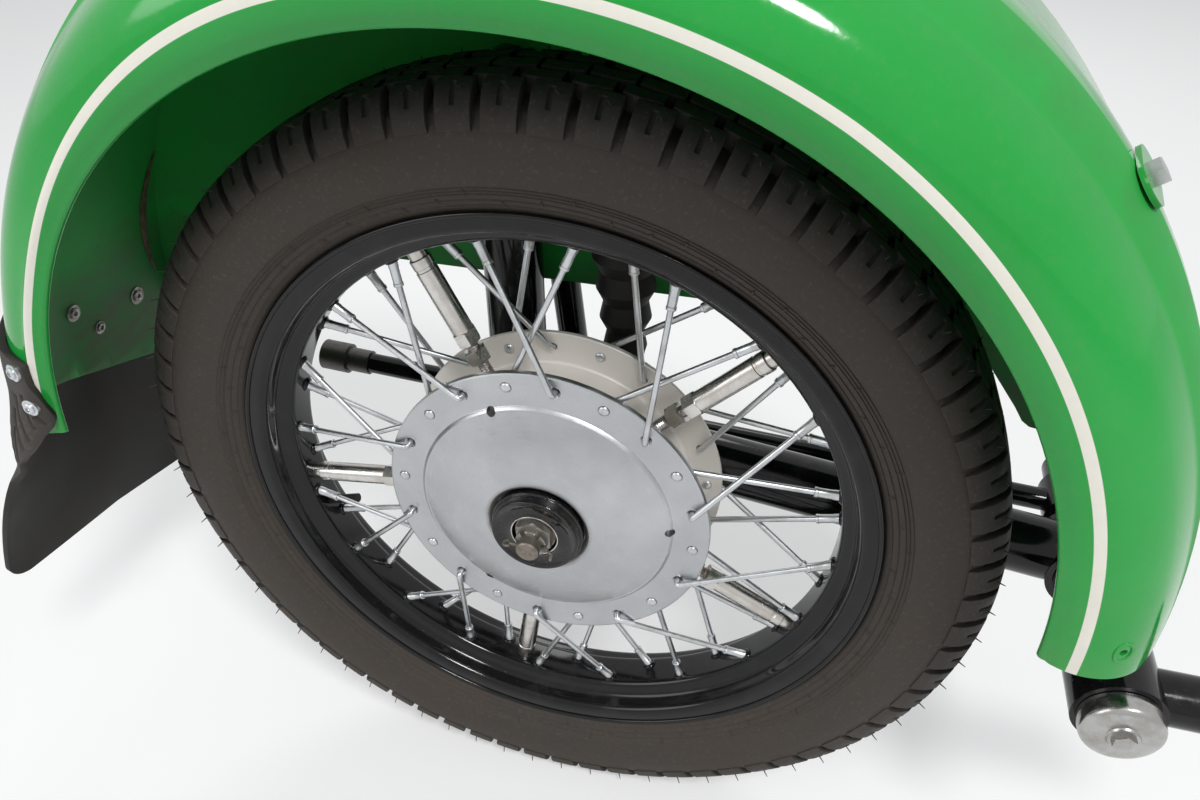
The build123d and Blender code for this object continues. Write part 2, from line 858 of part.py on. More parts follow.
with BuildPart() as shock_tower:
    foot_up = rail_up(tower_forward)
    bar(
        place(tower_forward, rail_outboard, foot_up),
        place(shock_forward, rail_outboard, tower_top),
        tower_radius,
    )
    bar(
        place(tower_forward + 22, rail_outboard, rail_up(tower_forward + 22)),
        place(tower_forward - 22, rail_outboard, rail_up(tower_forward - 22)),
        rail_radius + 5,
    )
    bar(
        place(tower_forward + 30, rail_outboard, rail_up(tower_forward + 30)),
        place(tower_forward - 30, rail_outboard, rail_up(tower_forward - 30)),
        rail_radius + 0.05,
        mode=Mode.SUBTRACT,
    )
    bar(
        place(shock_forward, rail_outboard, shock_top_up),
        place(shock_forward, guard_wall_outboard - guard_wall_sheet - 0.1, shock_top_up),
        18,
    )
    bar(
        place(shock_forward, rail_outboard - 30, shock_top_up),
        place(shock_forward, guard_wall_outboard + 5, shock_top_up),
        shock_pin_radius + 0.05,
        mode=Mode.SUBTRACT,
    )
finish(shock_tower, "shock_tower")

# Shock absorber: lower tube with its eye, dust cover with the top eye, and two pins
with BuildPart() as shock_lower:
    bar(
        place(shock_forward, arm_outboard, shock_eye_up),
        place(shock_forward, arm_outboard, shock_cover_bottom + 60),
        shock_rod_radius,
    )
    bar(
        place(shock_forward, arm_outboard - shock_eye_half_width, shock_eye_up),
        place(shock_forward, arm_outboard + shock_eye_half_width, shock_eye_up),
        shock_eye_radius,
    )
    with BuildSketch(across(arm_outboard - 30)):
        with BuildLine():
            Polyline(
                (shock_forward - 24, shock_eye_up - 24),
                (shock_forward + 24, shock_eye_up - 24),
                (shock_forward + 24, shock_eye_up + fork_radius + 8),
                (shock_forward - 24, shock_eye_up + fork_radius + 8),
                close=True,
            )
        make_face()
    extrude(amount=30 - shock_eye_half_width, mode=Mode.SUBTRACT)
    with BuildSketch(across(arm_outboard + shock_eye_half_width)):
        with BuildLine():
            Polyline(
                (shock_forward - 24, shock_eye_up - 24),
                (shock_forward + 24, shock_eye_up - 24),
                (shock_forward + 24, shock_eye_up + fork_radius + 8),
                (shock_forward - 24, shock_eye_up + fork_radius + 8),
                close=True,
            )
        make_face()
    extrude(amount=30 - shock_eye_half_width, mode=Mode.SUBTRACT)
    bar(
        place(shock_forward, arm_outboard - 30, shock_eye_up),
        place(shock_forward, arm_outboard + 30, shock_eye_up),
        shock_pin_radius + 0.05,
        mode=Mode.SUBTRACT,
    )
finish(shock_lower, "shock_lower")

with BuildPart() as shock_cover:
    bar(
        place(shock_forward, arm_outboard, shock_cover_bottom),
        place(shock_forward, arm_outboard, shock_cover_top),
        shock_cover_radius,
    )
    bar(
        place(shock_forward, arm_outboard, shock_cover_top),
        place(shock_forward, arm_outboard, shock_top_up),
        12,
    )
    bar(
        place(shock_forward, arm_outboard - shock_eye_half_width, shock_top_up),
        place(shock_forward, arm_outboard + shock_eye_half_width, shock_top_up),
        shock_eye_radius,
    )
    bar(
        place(shock_forward, arm_outboard, shock_cover_bottom - 1),
        place(shock_forward, arm_outboard, shock_cover_bottom + shock_bore_depth),
        shock_rod_radius + 0.1,
        mode=Mode.SUBTRACT,
    )
    bar(
        place(shock_forward, arm_outboard - 30, shock_top_up),
        place(shock_forward, arm_outboard + 30, shock_top_up),
        shock_pin_radius + 0.05,
        mode=Mode.SUBTRACT,
    )
finish(shock_cover, "shock_cover")

with BuildPart() as shock_pins:
    bar(
        place(shock_forward, arm_outer_face + 1, shock_eye_up),
        place(shock_forward, arm_inner_face - 8, shock_eye_up),
        shock_pin_radius,
    )
    bar(
        place(shock_forward, arm_outboard + 22, shock_top_up),
        place(shock_forward, rail_outboard - 5, shock_top_up),
        shock_pin_radius,
    )
finish(shock_pins, "shock_pins")

# Mudguard: a deep valanced section carried round an arc that is centred above the axle


guard_lip_radius = guard_crown_radius - guard_lip_drop
guard_shoulder_radius = guard_crown_radius - guard_shoulder_drop
guard_shoulder_outboard = guard_lip_outboard - guard_shoulder_inset
guard_haunch_radius = guard_crown_radius - guard_haunch_drop
guard_haunch_outboard = guard_lip_outboard - guard_haunch_inset


def guard_arcs(spread):
    """The outer line of the section, moved outwards by spread."""
    return (
        (guard_lip_radius, guard_lip_outboard + spread),
        (guard_crown_radius - guard_bulge_drop, guard_lip_outboard + guard_bulge_stand + spread),
        (guard_shoulder_radius + spread * 0.77, guard_shoulder_outboard + spread * 0.64),
        (guard_haunch_radius + spread * 0.93, guard_haunch_outboard + spread * 0.37),
        (guard_crown_radius + spread, guard_crown_outboard),
    )


def guard_line(spread):
    lip, bulge, shoulder, haunch, crown = guard_arcs(spread)
    ThreePointArc(lip, bulge, shoulder)
    ThreePointArc(shoulder, haunch, crown)
    Line(crown, (crown[0], guard_wall_outboard))


# Seat of the body's fixing tab on the crown
crown_line = ThreePointArc(*guard_arcs(0)[2:], mode=Mode.PRIVATE)
tab_along = (guard_shoulder_outboard - tab_outboard) / (guard_shoulder_outboard - guard_crown_outboard)
tab_at = crown_line @ tab_along
tab_tangent = crown_line % tab_along
tab_x, tab_z = polar(tab_at.X, tab_angle)
tab_seat = place(tab_x, tab_at.Y, guard_centre_up + tab_z)
tab_out = Vector(cos(radians(tab_angle)), 0, sin(radians(tab_angle)))
tab_normal = tab_out * -tab_tangent.Y + Vector(0, -1, 0) * tab_tangent.X

with BuildPart() as mudguard:
    with BuildSketch(half_section(0, guard_centre_up)):
        with BuildLine():
            guard_line(0)
            guard_line(-guard_sheet)
            Line(guard_arcs(0)[0], guard_arcs(-guard_sheet)[0])
            Line(
                (guard_crown_radius, guard_wall_outboard),
                (guard_crown_radius - guard_sheet, guard_wall_outboard),
            )
        make_face()
        with Locations((guard_lip_radius - 1, guard_lip_outboard - 2)):
            Circle(guard_bead_radius)
    revolve(
        axis=Axis(place(0, 0, guard_centre_up), (0, -1, 0)),
        revolution_arc=guard_rear_angle,
    )
    cut_reach = guard_lip_outboard + guard_bulge_stand + cut_margin
    cut_rise = guard_rear_cut_slope * (cut_reach - guard_lip_outboard)
    cut_fall = guard_rear_cut_slope * (cut_reach + guard_lip_outboard)
    cut_plane = Plane(
        origin=place(-guard_crown_radius - cut_margin, 0, 0),
        x_dir=(0, -1, 0),
        z_dir=(-1, 0, 0),
    )
    with BuildSketch(cut_plane):
        with BuildLine():
            Polyline(
                (cut_reach, guard_rear_cut_lip_up + cut_rise),
                (-cut_reach, guard_rear_cut_lip_up - cut_fall),
                (-cut_reach, -guard_crown_radius / 2),
                (cut_reach, -guard_crown_radius / 2),
                close=True,
            )
        make_face()
    extrude(amount=-guard_crown_radius / 2, mode=Mode.SUBTRACT)
    bar(tab_seat - tab_normal * 20, tab_seat + tab_normal * 5, tab_bolt_radius + 0.3, mode=Mode.SUBTRACT)
    hole_x = guard_crown_radius * cos(radians(front_hole_angle))
    hole_z = guard_centre_up + guard_crown_radius * sin(radians(front_hole_angle))
    bar(
        place(hole_x - 60, front_hole_outboard, hole_z),
        place(hole_x + 10, front_hole_outboard, hole_z),
        front_hole_radius,
        mode=Mode.SUBTRACT,
    )
finish(mudguard, "mudguard")

with BuildPart() as mudguard_inner_wall:
    with BuildSketch(across(guard_wall_outboard, up=guard_centre_up)):
        Circle(guard_crown_radius)
        with Locations((0, -guard_crown_radius + guard_wall_bottom - guard_centre_up)):
            Rectangle(2 * guard_crown_radius + 10, 2 * guard_crown_radius, mode=Mode.SUBTRACT)
    extrude(amount=-guard_wall_sheet)
    bar(
        place(shock_forward, guard_wall_outboard + 10, shock_top_up),
        place(shock_forward, guard_wall_outboard - 10, shock_top_up),
        shock_pin_radius + 1,
        mode=Mode.SUBTRACT,
    )
finish(mudguard_inner_wall, "mudguard_inner_wall")

# Bump buffer on its bracket
with BuildPart() as buffer_bracket:
    wall_face = guard_wall_outboard
    with BuildSketch(across(wall_face)):
        with Locations((buffer_forward, buffer_top_up + 30)):
            Rectangle(buffer_plate_width, buffer_plate_height)
    extrude(amount=5)
    with BuildSketch(across(wall_face)):
        with Locations((buffer_forward, buffer_top_up + 7)):
            Rectangle(buffer_plate_width, buffer_shelf_thickness)
    extrude(amount=buffer_shelf_reach)
finish(buffer_bracket, "buffer_bracket")

with BuildPart() as bump_buffer:
    buffer_axis = Axis(place(buffer_forward, arm_outboard, 0), (0, 0, 1))
    section = Plane(
        origin=place(buffer_forward, arm_outboard, 0),
        x_dir=(1, 0, 0),
        z_dir=(0, -1, 0),
    )
    rib_height = (buffer_top_up - buffer_tip_up) / buffer_ribs
    outline = [(0, buffer_tip_up), (buffer_tip_radius, buffer_tip_up)]
    for number in range(buffer_ribs):
        low = buffer_tip_up + rib_height * number
        widening = (buffer_top_radius - buffer_tip_radius) / buffer_ribs
        radius = buffer_tip_radius + widening * (number + 1)
        outline += [(radius, low + rib_height * 0.45), (radius - 3, low + rib_height)]
    outline += [(buffer_top_radius, buffer_top_up + 3.7), (0, buffer_top_up + 3.7)]
    with BuildSketch(section):
        with BuildLine():
            Polyline(*outline, close=True)
        make_face()
    revolve(axis=buffer_axis)
finish(bump_buffer, "bump_buffer")

# Tab on the crown where the body is bolted on, and its bolt
with BuildPart() as body_tab:
    with BuildSketch(Plane(origin=tab_seat + tab_normal * 0.3, x_dir=(0, -1, 0), z_dir=tab_normal)):
        SlotOverall(44, 24)
        Circle(tab_bolt_radius + 0.3, mode=Mode.SUBTRACT)
    extrude(amount=3)
finish(body_tab, "body_tab")

with BuildPart() as tab_bolt:
    under = tab_seat + tab_normal * 3.3
    hexagon_bar(under, under + tab_normal * 6, 2 * tab_bolt_radius * 1.6)
    bar(under - tab_normal * 14, under, tab_bolt_radius)
finish(tab_bolt, "tab_bolt")

# Mud flap: wraps the guard's section behind its end, then flares out and back to a rounded corner
flap_far = guard_wall_outboard + flap_inset


def flap_plane(height):
    """A level plane with its axes rearward and outboard."""
    return Plane(origin=place(0, 0, height), x_dir=(-1, 0, 0), z_dir=(0, 0, 1))


def guard_side_point(spread, share):
    """A point on the guard's side, at a share of the way from the lip to the shoulder."""
    side = ThreePointArc(*guard_arcs(spread)[:3], mode=Mode.PRIVATE)
    point = side @ share
    return point.X, point.Y


def flap_wrap(spread):
    """The guard's outer line from just above the lip, moved outwards by spread."""
    lip, bulge, shoulder, haunch, crown = guard_arcs(spread)
    middle_share = (1 + flap_lip_share) / 2
    start = guard_side_point(spread, flap_lip_share)
    ThreePointArc(start, guard_side_point(spread, middle_share), shoulder)
    ThreePointArc(shoulder, haunch, crown)
    Line(crown, (crown[0], flap_far))
    return start, (crown[0], flap_far)


def flap_strip(height, corners):
    """A curved strip at one height, from (rearward, outboard) points on its inner face."""
    with BuildSketch(flap_plane(height)) as strip:
        with BuildLine():
            moved = [(rearward + flap_thickness, outboard) for rearward, outboard in corners]
            for side in (corners, moved):
                ThreePointArc(*side[:3])
                Line(side[2], side[3])
            Line(corners[0], moved[0])
            Line(corners[3], moved[3])
        make_face()
    return strip.sketch


flap_seam_near = guard_side_point(flap_gap, flap_seam_share)
flap_seam = (
    flap_seam_near,
    (guard_haunch_radius + flap_gap, guard_haunch_outboard),
    (guard_crown_radius + flap_gap, guard_crown_outboard),
    (guard_crown_radius + flap_gap, flap_far),
)
flap_waist = [(guard_crown_radius + waist, outboard) for outboard, waist, foot in flap_flare]
flap_foot = [(guard_crown_radius + foot, outboard) for outboard, waist, foot in flap_flare]

with BuildPart() as mud_flap:
    with BuildSketch(flap_plane(guard_centre_up)):
        with BuildLine():
            inner_near, inner_far = flap_wrap(flap_gap)
            outer_near, outer_far = flap_wrap(flap_gap + flap_thickness)
            Line(inner_near, outer_near)
            Line(inner_far, outer_far)
        make_face()
    revolve(
        axis=Axis(place(0, 0, guard_centre_up), (0, 1, 0)),
        revolution_arc=flap_hug_angle,
    )
    seam_point = Vector(-flap_seam_near[0], guard_centre_up)
    lip_point = Vector(-inner_near[0], flap_lip_edge_up)
    edge_end = lip_point + (lip_point - seam_point) * 0.5
    with BuildSketch(across(flap_seam_near[1] - 20)):
        with BuildLine():
            Polyline(
                seam_point - Vector(0, 1),
                seam_point,
                edge_end,
                (edge_end.X, guard_centre_up - 1),
                close=True,
            )
        make_face()
        with BuildLine():
            lowest, highest = flap_top_edge[0], flap_top_edge[-1]
            Polyline(*flap_top_edge, (lowest[0] + 60, highest[1]), (lowest[0] + 60, lowest[1]), close=True)
        make_face()
    extrude(amount=40, mode=Mode.SUBTRACT)
    loft([
        flap_strip(guard_centre_up, flap_seam),
        flap_strip(flap_waist_up, flap_waist),
        flap_strip(flap_bottom_up, flap_foot),
    ])
    with BuildSketch(Plane(origin=place(-guard_crown_radius, 0, 0), x_dir=(0, -1, 0), z_dir=(-1, 0, 0))):
        with Locations((flap_foot[0][1] - flap_corner, flap_bottom_up + flap_corner)):
            Rectangle(flap_corner + 10, flap_corner + 10, align=(Align.MIN, Align.MAX))
            Circle(flap_corner, mode=Mode.SUBTRACT)
    extrude(amount=flap_foot[0][0], both=True, mode=Mode.SUBTRACT)
finish(mud_flap, "mud_flap")
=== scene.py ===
# %% [markdown]
# # A sidecar's wheel unit, dressed in Blender
#
# The construction model gives every solid its place and size. This script loads it as a fixed
# frame, adds the detail that a maker would see on the real unit, and gives each surface a finish.
# All distances are metres. +X is forward, +Y is inboard, +Z is up, and the origin is at the inboard
# end of the cross tube.

# %% Load the frame
from math import atan2, cos, degrees, pi, radians, sin, tau

import bpy
from mathutils import Matrix, Vector


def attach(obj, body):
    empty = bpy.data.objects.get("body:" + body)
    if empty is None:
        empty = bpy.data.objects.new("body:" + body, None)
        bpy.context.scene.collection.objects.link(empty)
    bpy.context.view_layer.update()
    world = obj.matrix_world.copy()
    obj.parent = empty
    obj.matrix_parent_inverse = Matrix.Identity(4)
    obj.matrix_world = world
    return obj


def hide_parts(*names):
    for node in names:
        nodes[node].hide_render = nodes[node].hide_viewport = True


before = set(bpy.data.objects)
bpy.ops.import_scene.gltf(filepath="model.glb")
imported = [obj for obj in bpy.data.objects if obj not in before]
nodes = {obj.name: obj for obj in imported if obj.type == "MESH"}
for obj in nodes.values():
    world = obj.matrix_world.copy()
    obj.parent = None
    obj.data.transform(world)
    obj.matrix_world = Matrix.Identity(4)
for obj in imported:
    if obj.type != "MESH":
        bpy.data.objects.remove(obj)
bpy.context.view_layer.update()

# %% [markdown]
# ## Places that many pieces need
#
# Most pieces turn about the wheel's axle, so points are given as a radius and an angle from
# straight ahead, and as a distance outboard of the wheel's middle. The mudguard has its own centre,
# a little above the axle. One helper turns such a point into a point of the frame.

# %% Wheel and guard centres
HUB = Vector((-0.428, -0.200, 0.051))
GUARD_RISE = 0.044
GUARD_CENTRE = HUB + Vector((0, 0, GUARD_RISE))
OUTBOARD = Vector((0, -1, 0))


def place(forward, outboard, up):
    return HUB + Vector((forward, -outboard, up))


def on_circle(radius, angle, outboard, centre=HUB):
    turn = radians(angle)
    return centre + Vector((radius * cos(turn), -outboard, radius * sin(turn)))


print("hub at", tuple(HUB), "guard arc about", tuple(GUARD_CENTRE))

# %% [markdown]
# ## Camera
#
# The photograph was taken by somebody standing beside the wheel and looking down at it with a wide
# lens. The camera's place and its three directions were fitted to the rings of spoke holes in the
# hub, which are circles of known size.

# %% Camera
eye = bpy.data.objects.new("eye", bpy.data.cameras.new("eye"))
bpy.context.collection.objects.link(eye)
eye.data.sensor_width = 36.0
eye.data.lens = 27.395
eye.data.clip_start = 0.01
right, up, back = (
    Vector((0.965758, 0.259443, 0.0)),
    Vector((-0.154336, 0.574506, 0.803814)),
    Vector((0.208544, -0.776290, 0.594881)),
)
stand = Vector((-0.248885, -0.730172, 0.552335))
eye.matrix_world = Matrix((
    (right.x, up.x, back.x, stand.x),
    (right.y, up.y, back.y, stand.y),
    (right.z, up.z, back.z, stand.z),
    (0, 0, 0, 1),
))
bpy.context.scene.camera = eye
print("camera stands at", tuple(stand))

# %% [markdown]
# ## Light and floor
#
# Studio light for a part that is mostly gloss paint: one broad soft lamp high in front, a smaller
# one behind, and an even sky. The floor is pale. To a camera or in a reflection it adds a little
# light of its own, so that it reads as white and still keeps the shadow.

# %% Lamps and sky
scene = bpy.context.scene
scene.view_settings.view_transform = "Standard"


def lamp(name, spot, target, size, watts):
    light = bpy.data.lights.new(name, "AREA")
    light.shape = "DISK"
    light.size = size
    light.energy = watts
    holder = bpy.data.objects.new(name, light)
    bpy.context.collection.objects.link(holder)
    holder.location = spot
    aim = Vector(target) - Vector(spot)
    holder.rotation_euler = aim.to_track_quat("-Z", "Y").to_euler()
    return holder


lamp("key_lamp", (0.9, -1.9, 3.1), HUB, 0.8, 78)
lamp("fill_lamp", (-2.4, -1.8, 1.4), HUB, 1.6, 18)
lamp("rim_lamp", (-0.6, 2.4, 2.2), HUB, 1.4, 24)

sky = bpy.data.worlds.new("sky")
scene.world = sky
sky.use_nodes = True
tree = sky.node_tree
tree.nodes.clear()
sky_out = tree.nodes.new("ShaderNodeOutputWorld")
seen_sky = tree.nodes.new("ShaderNodeBackground")
seen_sky.inputs["Strength"].default_value = 1.0
lighting_sky = tree.nodes.new("ShaderNodeBackground")
lighting_sky.inputs["Color"].default_value = (0.96, 0.98, 1.0, 1)
lighting_sky.inputs["Strength"].default_value = 0.42


def seen_by_eye(tree):
    """1 for rays from the camera, in a reflection or through glass, and 0 for light."""
    rays = tree.nodes.new("ShaderNodeLightPath")
    total = tree.nodes.new("ShaderNodeMath")
    total.operation = "ADD"
    tree.links.new(rays.outputs["Is Camera Ray"], total.inputs[0])
    tree.links.new(rays.outputs["Is Glossy Ray"], total.inputs[1])
    seen = tree.nodes.new("ShaderNodeMath")
    seen.operation = "ADD"
    seen.use_clamp = True
    tree.links.new(total.outputs[0], seen.inputs[0])
    tree.links.new(rays.outputs["Is Transmission Ray"], seen.inputs[1])
    return seen.outputs[0]


def seen_apart(tree, for_light, for_eye, out):
    """Give light one shader, and the camera and reflections another."""
    mix = tree.nodes.new("ShaderNodeMixShader")
    tree.links.new(seen_by_eye(tree), mix.inputs["Fac"])
    tree.links.new(for_light.outputs[0], mix.inputs[1])
    tree.links.new(for_eye.outputs[0], mix.inputs[2])
    tree.links.new(mix.outputs[0], out.inputs["Surface"])


seen_apart(tree, lighting_sky, seen_sky, sky_out)

# %% Floor
TYRE_RADIUS = 0.340
FLOOR = HUB.z - TYRE_RADIUS
UNDER_TYRE = 0.0005
bpy.ops.object.select_all(action="DESELECT")
bpy.ops.mesh.primitive_plane_add(size=40, location=(0, 0, FLOOR - UNDER_TYRE))
floor = bpy.context.active_object
floor.name = "studio_floor"
floor_paint = bpy.data.materials.new("studio_floor")
floor_paint.use_nodes = True
tree = floor_paint.node_tree
tree.nodes.clear()
floor_out = tree.nodes.new("ShaderNodeOutputMaterial")
matt = tree.nodes.new("ShaderNodeBsdfDiffuse")
matt.inputs["Color"].default_value = (0.60, 0.60, 0.60, 1)
shown = tree.nodes.new("ShaderNodeBsdfDiffuse")
shown.inputs["Color"].default_value = (0.62, 0.62, 0.62, 1)
glow = tree.nodes.new("ShaderNodeEmission")
glow.inputs["Strength"].default_value = 0.34
lit = tree.nodes.new("ShaderNodeAddShader")
tree.links.new(shown.outputs[0], lit.inputs[0])
tree.links.new(glow.outputs[0], lit.inputs[1])
seen_apart(tree, matt, lit, floor_out)
floor.data.materials.append(floor_paint)
print("floor at", round(FLOOR, 4))

# %% [markdown]
# ## How a finish is put together
#
# Every finish here starts the same way: a Principled shader whose even values stand on its own
# sockets, and patterns read from Object coordinates, which stay put when a piece turns. A small
# class does the wiring: patches come from noise and a ramp, and colour, metal, roughness and grain
# follow such patches.

# %% Helpers for finishes
finishes = {}


class Finish:
    def __init__(self, key, name, colour, roughness, metallic=0.0, centre=(0, 0, 0)):
        finishes[key] = self
        self.material = bpy.data.materials.new(name)
        self.material.use_nodes = True
        self.tree = self.material.node_tree
        self.tree.nodes.clear()
        self.out = self.add("ShaderNodeOutputMaterial")
        self.shader = self.add("ShaderNodeBsdfPrincipled")
        self.join(self.shader.outputs[0], self.out.inputs["Surface"])
        self.set("Base Color", (*colour, 1))
        self.set("Roughness", roughness)
        self.set("Metallic", metallic)
        self.material.diffuse_color = (*colour, 1)
        coordinates = self.add("ShaderNodeTexCoord")
        mapping = self.add("ShaderNodeMapping")
        mapping.inputs["Location"].default_value = [-value for value in centre]
        self.join(coordinates.outputs["Object"], mapping.inputs["Vector"])
        self.where = mapping.outputs[0]

    def add(self, kind):
        return self.tree.nodes.new(kind)

    def join(self, source, target):
        self.tree.links.new(source, target)

    def set(self, socket, value):
        self.shader.inputs[socket].default_value = value

    def feed(self, socket, source):
        self.join(source, self.shader.inputs[socket])

    def maths(self, operation, first, second=None, clamp=False):
        node = self.add("ShaderNodeMath")
        node.operation = operation
        node.use_clamp = clamp
        for number, value in enumerate((first, second)):
            if isinstance(value, (int, float)):
                node.inputs[number].default_value = value
            elif value is not None:
                self.join(value, node.inputs[number])
        return node.outputs[0]

    def times(self, first, second, clamp=False):
        return self.maths("MULTIPLY", first, second, clamp)

    def noise(self, scale, detail=4.0, rough=0.55, stretch=None, distortion=0.0):
        node = self.add("ShaderNodeTexNoise")
        node.inputs["Scale"].default_value = scale
        node.inputs["Detail"].default_value = detail
        node.inputs["Roughness"].default_value = rough
        node.inputs["Distortion"].default_value = distortion
        source = self.where
        if stretch:
            squeeze = self.add("ShaderNodeMapping")
            squeeze.inputs["Scale"].default_value = stretch
            self.join(self.where, squeeze.inputs["Vector"])
            source = squeeze.outputs[0]
        self.join(source, node.inputs["Vector"])
        return node.outputs["Fac"]

    def ramp(self, source, low, high, start=0.0, end=1.0):
        """Straight-line step: start below low, end above high."""
        node = self.add("ShaderNodeMapRange")
        node.inputs["From Min"].default_value = low
        node.inputs["From Max"].default_value = high
        node.inputs["To Min"].default_value = start
        node.inputs["To Max"].default_value = end
        self.join(source, node.inputs["Value"])
        return node.outputs[0]

    def blend(self, factor, first, second):
        node = self.add("ShaderNodeMix")
        node.data_type = "RGBA"
        colours = [socket for socket in node.inputs if socket.type == "RGBA"]
        for socket, value in zip(colours, (first, second)):
            if isinstance(value, (tuple, list)):
                socket.default_value = (*value, 1)
            else:
                self.join(value, socket)
        self.join(factor, node.inputs[0])
        return [socket for socket in node.outputs if socket.type == "RGBA"][0]

    def bump(self, height, distance, strength=1.0, before=None):
        node = self.add("ShaderNodeBump")
        node.inputs["Distance"].default_value = distance
        node.inputs["Strength"].default_value = strength
        self.join(height, node.inputs["Height"])
        if before is not None:
            self.join(before, node.inputs["Normal"])
        return node.outputs[0]

    def parts(self):
        """Forward, inboard and up distances from the finish's centre."""
        node = self.add("ShaderNodeSeparateXYZ")
        self.join(self.where, node.inputs[0])
        return node.outputs

    def radius(self):
        """Distance from the crosswise axis through the finish's centre."""
        x, y, z = self.parts()
        return self.maths("SQRT", self.maths("ADD", self.times(x, x), self.times(z, z)))

    def stained(self, stain, clean, dirty, metallic=None, roughness=None):
        """Colour, and if given metal and roughness, that go from clean to dirty with a stain."""
        self.feed("Base Color", self.blend(stain, clean, dirty))
        for socket, ends in (("Metallic", metallic), ("Roughness", roughness)):
            if ends:
                self.feed(socket, self.ramp(stain, 0.0, 1.0, *ends))

    def grain(self, height, distance, strength, before=None):
        self.feed("Normal", self.bump(height, distance, strength, before))


def coat(piece, name):
    """Put a finish on a piece or node."""
    piece.data.materials.clear()
    piece.data.materials.append(finishes[name].material)


print("finish helpers ready")

# %% [markdown]
# ## Green paint with a cream line
#
# The guard is stove-enamelled and very glossy, with a hand-drawn cream line round its shoulder. The
# line is drawn by the distance from the guard's own centre. It rises a little over the front and
# drops towards the lip at the rear, as a line drawn by hand does. Road dust lies low on the guard
# and thins out upwards, and the enamel has a slight orange peel that softens reflections. Inside,
# the green is painted darker towards the bottom, which is painted shade, and it is streaked with
# dried mud near the bottom.

# %% Green enamel
STRIPE_FRONT = 0.361
STRIPE_RISE = 0.006
STRIPE_REAR_DROP = 0.015
STRIPE_HALF = 0.0031

green = Finish("green", "green_enamel", (0.010, 0.37, 0.050), 0.12, centre=GUARD_CENTRE)
green.set("Specular IOR Level", 0.45)
forward, inboard, height = green.parts()
clouds = green.ramp(green.noise(5.0, 3.0), 0.35, 0.7)
enamel = green.blend(clouds, (0.008, 0.340, 0.042), (0.012, 0.395, 0.056))
low_down = green.ramp(height, 0.10, -0.12)
flecks = green.ramp(green.noise(160.0, 6.0, 0.7), 0.50, 0.72)
film = green.ramp(green.noise(22.0, 5.0, 0.6), 0.42, 0.75)
dust = green.times(low_down, green.times(film, 0.45), clamp=True)
dust = green.maths("ADD", dust, green.times(flecks, 0.05), clamp=True)
inner_face = green.times(
    green.ramp(green.radius(), 0.4293, 0.4287), green.ramp(inboard, -0.100, -0.080), clamp=True
)
streaks = green.ramp(green.noise(34.0, 7.0, 0.7, stretch=(1.0, 0.45, 1.0)), 0.40, 0.68)
splashed = green.times(streaks, green.ramp(height, 0.14, 0.02, 0.18, 0.80))
mud = green.times(inner_face, splashed, clamp=True)
# Painted shade: the inside of the guard is painted a darker green towards the bottom. The mud streaks above
# are real dirt.
shaded = green.times(inner_face, green.ramp(height, 0.110, 0.050, 0.0, 0.75), clamp=True)
enamel = green.blend(shaded, enamel, (0.004, 0.105, 0.020))
dust = green.times(dust, green.maths("SUBTRACT", 1.0, inner_face))
wander = green.times(green.maths("SUBTRACT", green.noise(6.0, 1.0), 0.5), 0.0012)
around = green.maths("ARCTAN2", height, forward)
over_front = green.ramp(around, 0.0, radians(60), STRIPE_FRONT, STRIPE_FRONT + STRIPE_RISE)
to_rear = green.ramp(around, radians(105), radians(155))
to_rear.node.interpolation_type = "SMOOTHSTEP"
stripe_at = green.maths("SUBTRACT", over_front, green.times(to_rear, STRIPE_REAR_DROP))
off_line = green.maths("SUBTRACT", green.maths("ADD", green.radius(), wander), stripe_at)
half = green.maths("SUBTRACT", STRIPE_HALF, green.times(to_rear, 0.0008))
past_edge = green.maths("SUBTRACT", green.maths("ABSOLUTE", off_line), half)
line = green.ramp(past_edge, 0.00015, -0.00015)
outer_side = green.ramp(inboard, -0.105, -0.108)
before_flap = green.ramp(around, radians(171), radians(170))
after_front = green.ramp(around, radians(-20), radians(-15))
above_flap = green.times(before_flap, after_front, clamp=True)
outer_side = green.times(outer_side, above_flap)
line = green.times(line, outer_side, clamp=True)
painted = green.blend(line, enamel, (0.93, 0.90, 0.80))
dusty = green.blend(dust, painted, (0.30, 0.27, 0.20))
green.feed("Base Color", green.blend(mud, dusty, (0.075, 0.062, 0.040)))
green.feed("Roughness", green.ramp(green.maths("MAXIMUM", dust, inner_face), 0.0, 0.4, 0.10, 0.6))
peel = green.noise(420.0, 2.0)
green.grain(peel, 0.00006, 0.35)
print("cream line", round(2 * STRIPE_HALF * 1000, 1), "mm wide")

# %% [markdown]
# ## Black enamel
#
# Rim, arm and tubes are black and glossy. Dust dulls them in soft patches, and it is what makes the
# black look real: a perfectly clean black would only be a mirror.

# %% Black enamel
black = Finish("black", "black_enamel", (0.005, 0.005, 0.006), 0.12, centre=HUB)
black.set("Specular IOR Level", 0.32)
film = black.ramp(black.noise(30.0, 6.0, 0.65), 0.50, 0.85, 0.0, 0.22)
specks = black.ramp(black.noise(480.0, 4.0, 0.6), 0.62, 0.74, 0.0, 0.45)
dust = black.maths("MAXIMUM", film, black.times(specks, 0.6))
black.stained(dust, (0.0045, 0.0045, 0.0055), (0.075, 0.068, 0.058))
black.feed("Roughness", black.ramp(dust, 0.0, 0.35, 0.10, 0.50))
black.grain(black.noise(500.0, 2.0), 0.00005, 0.3)

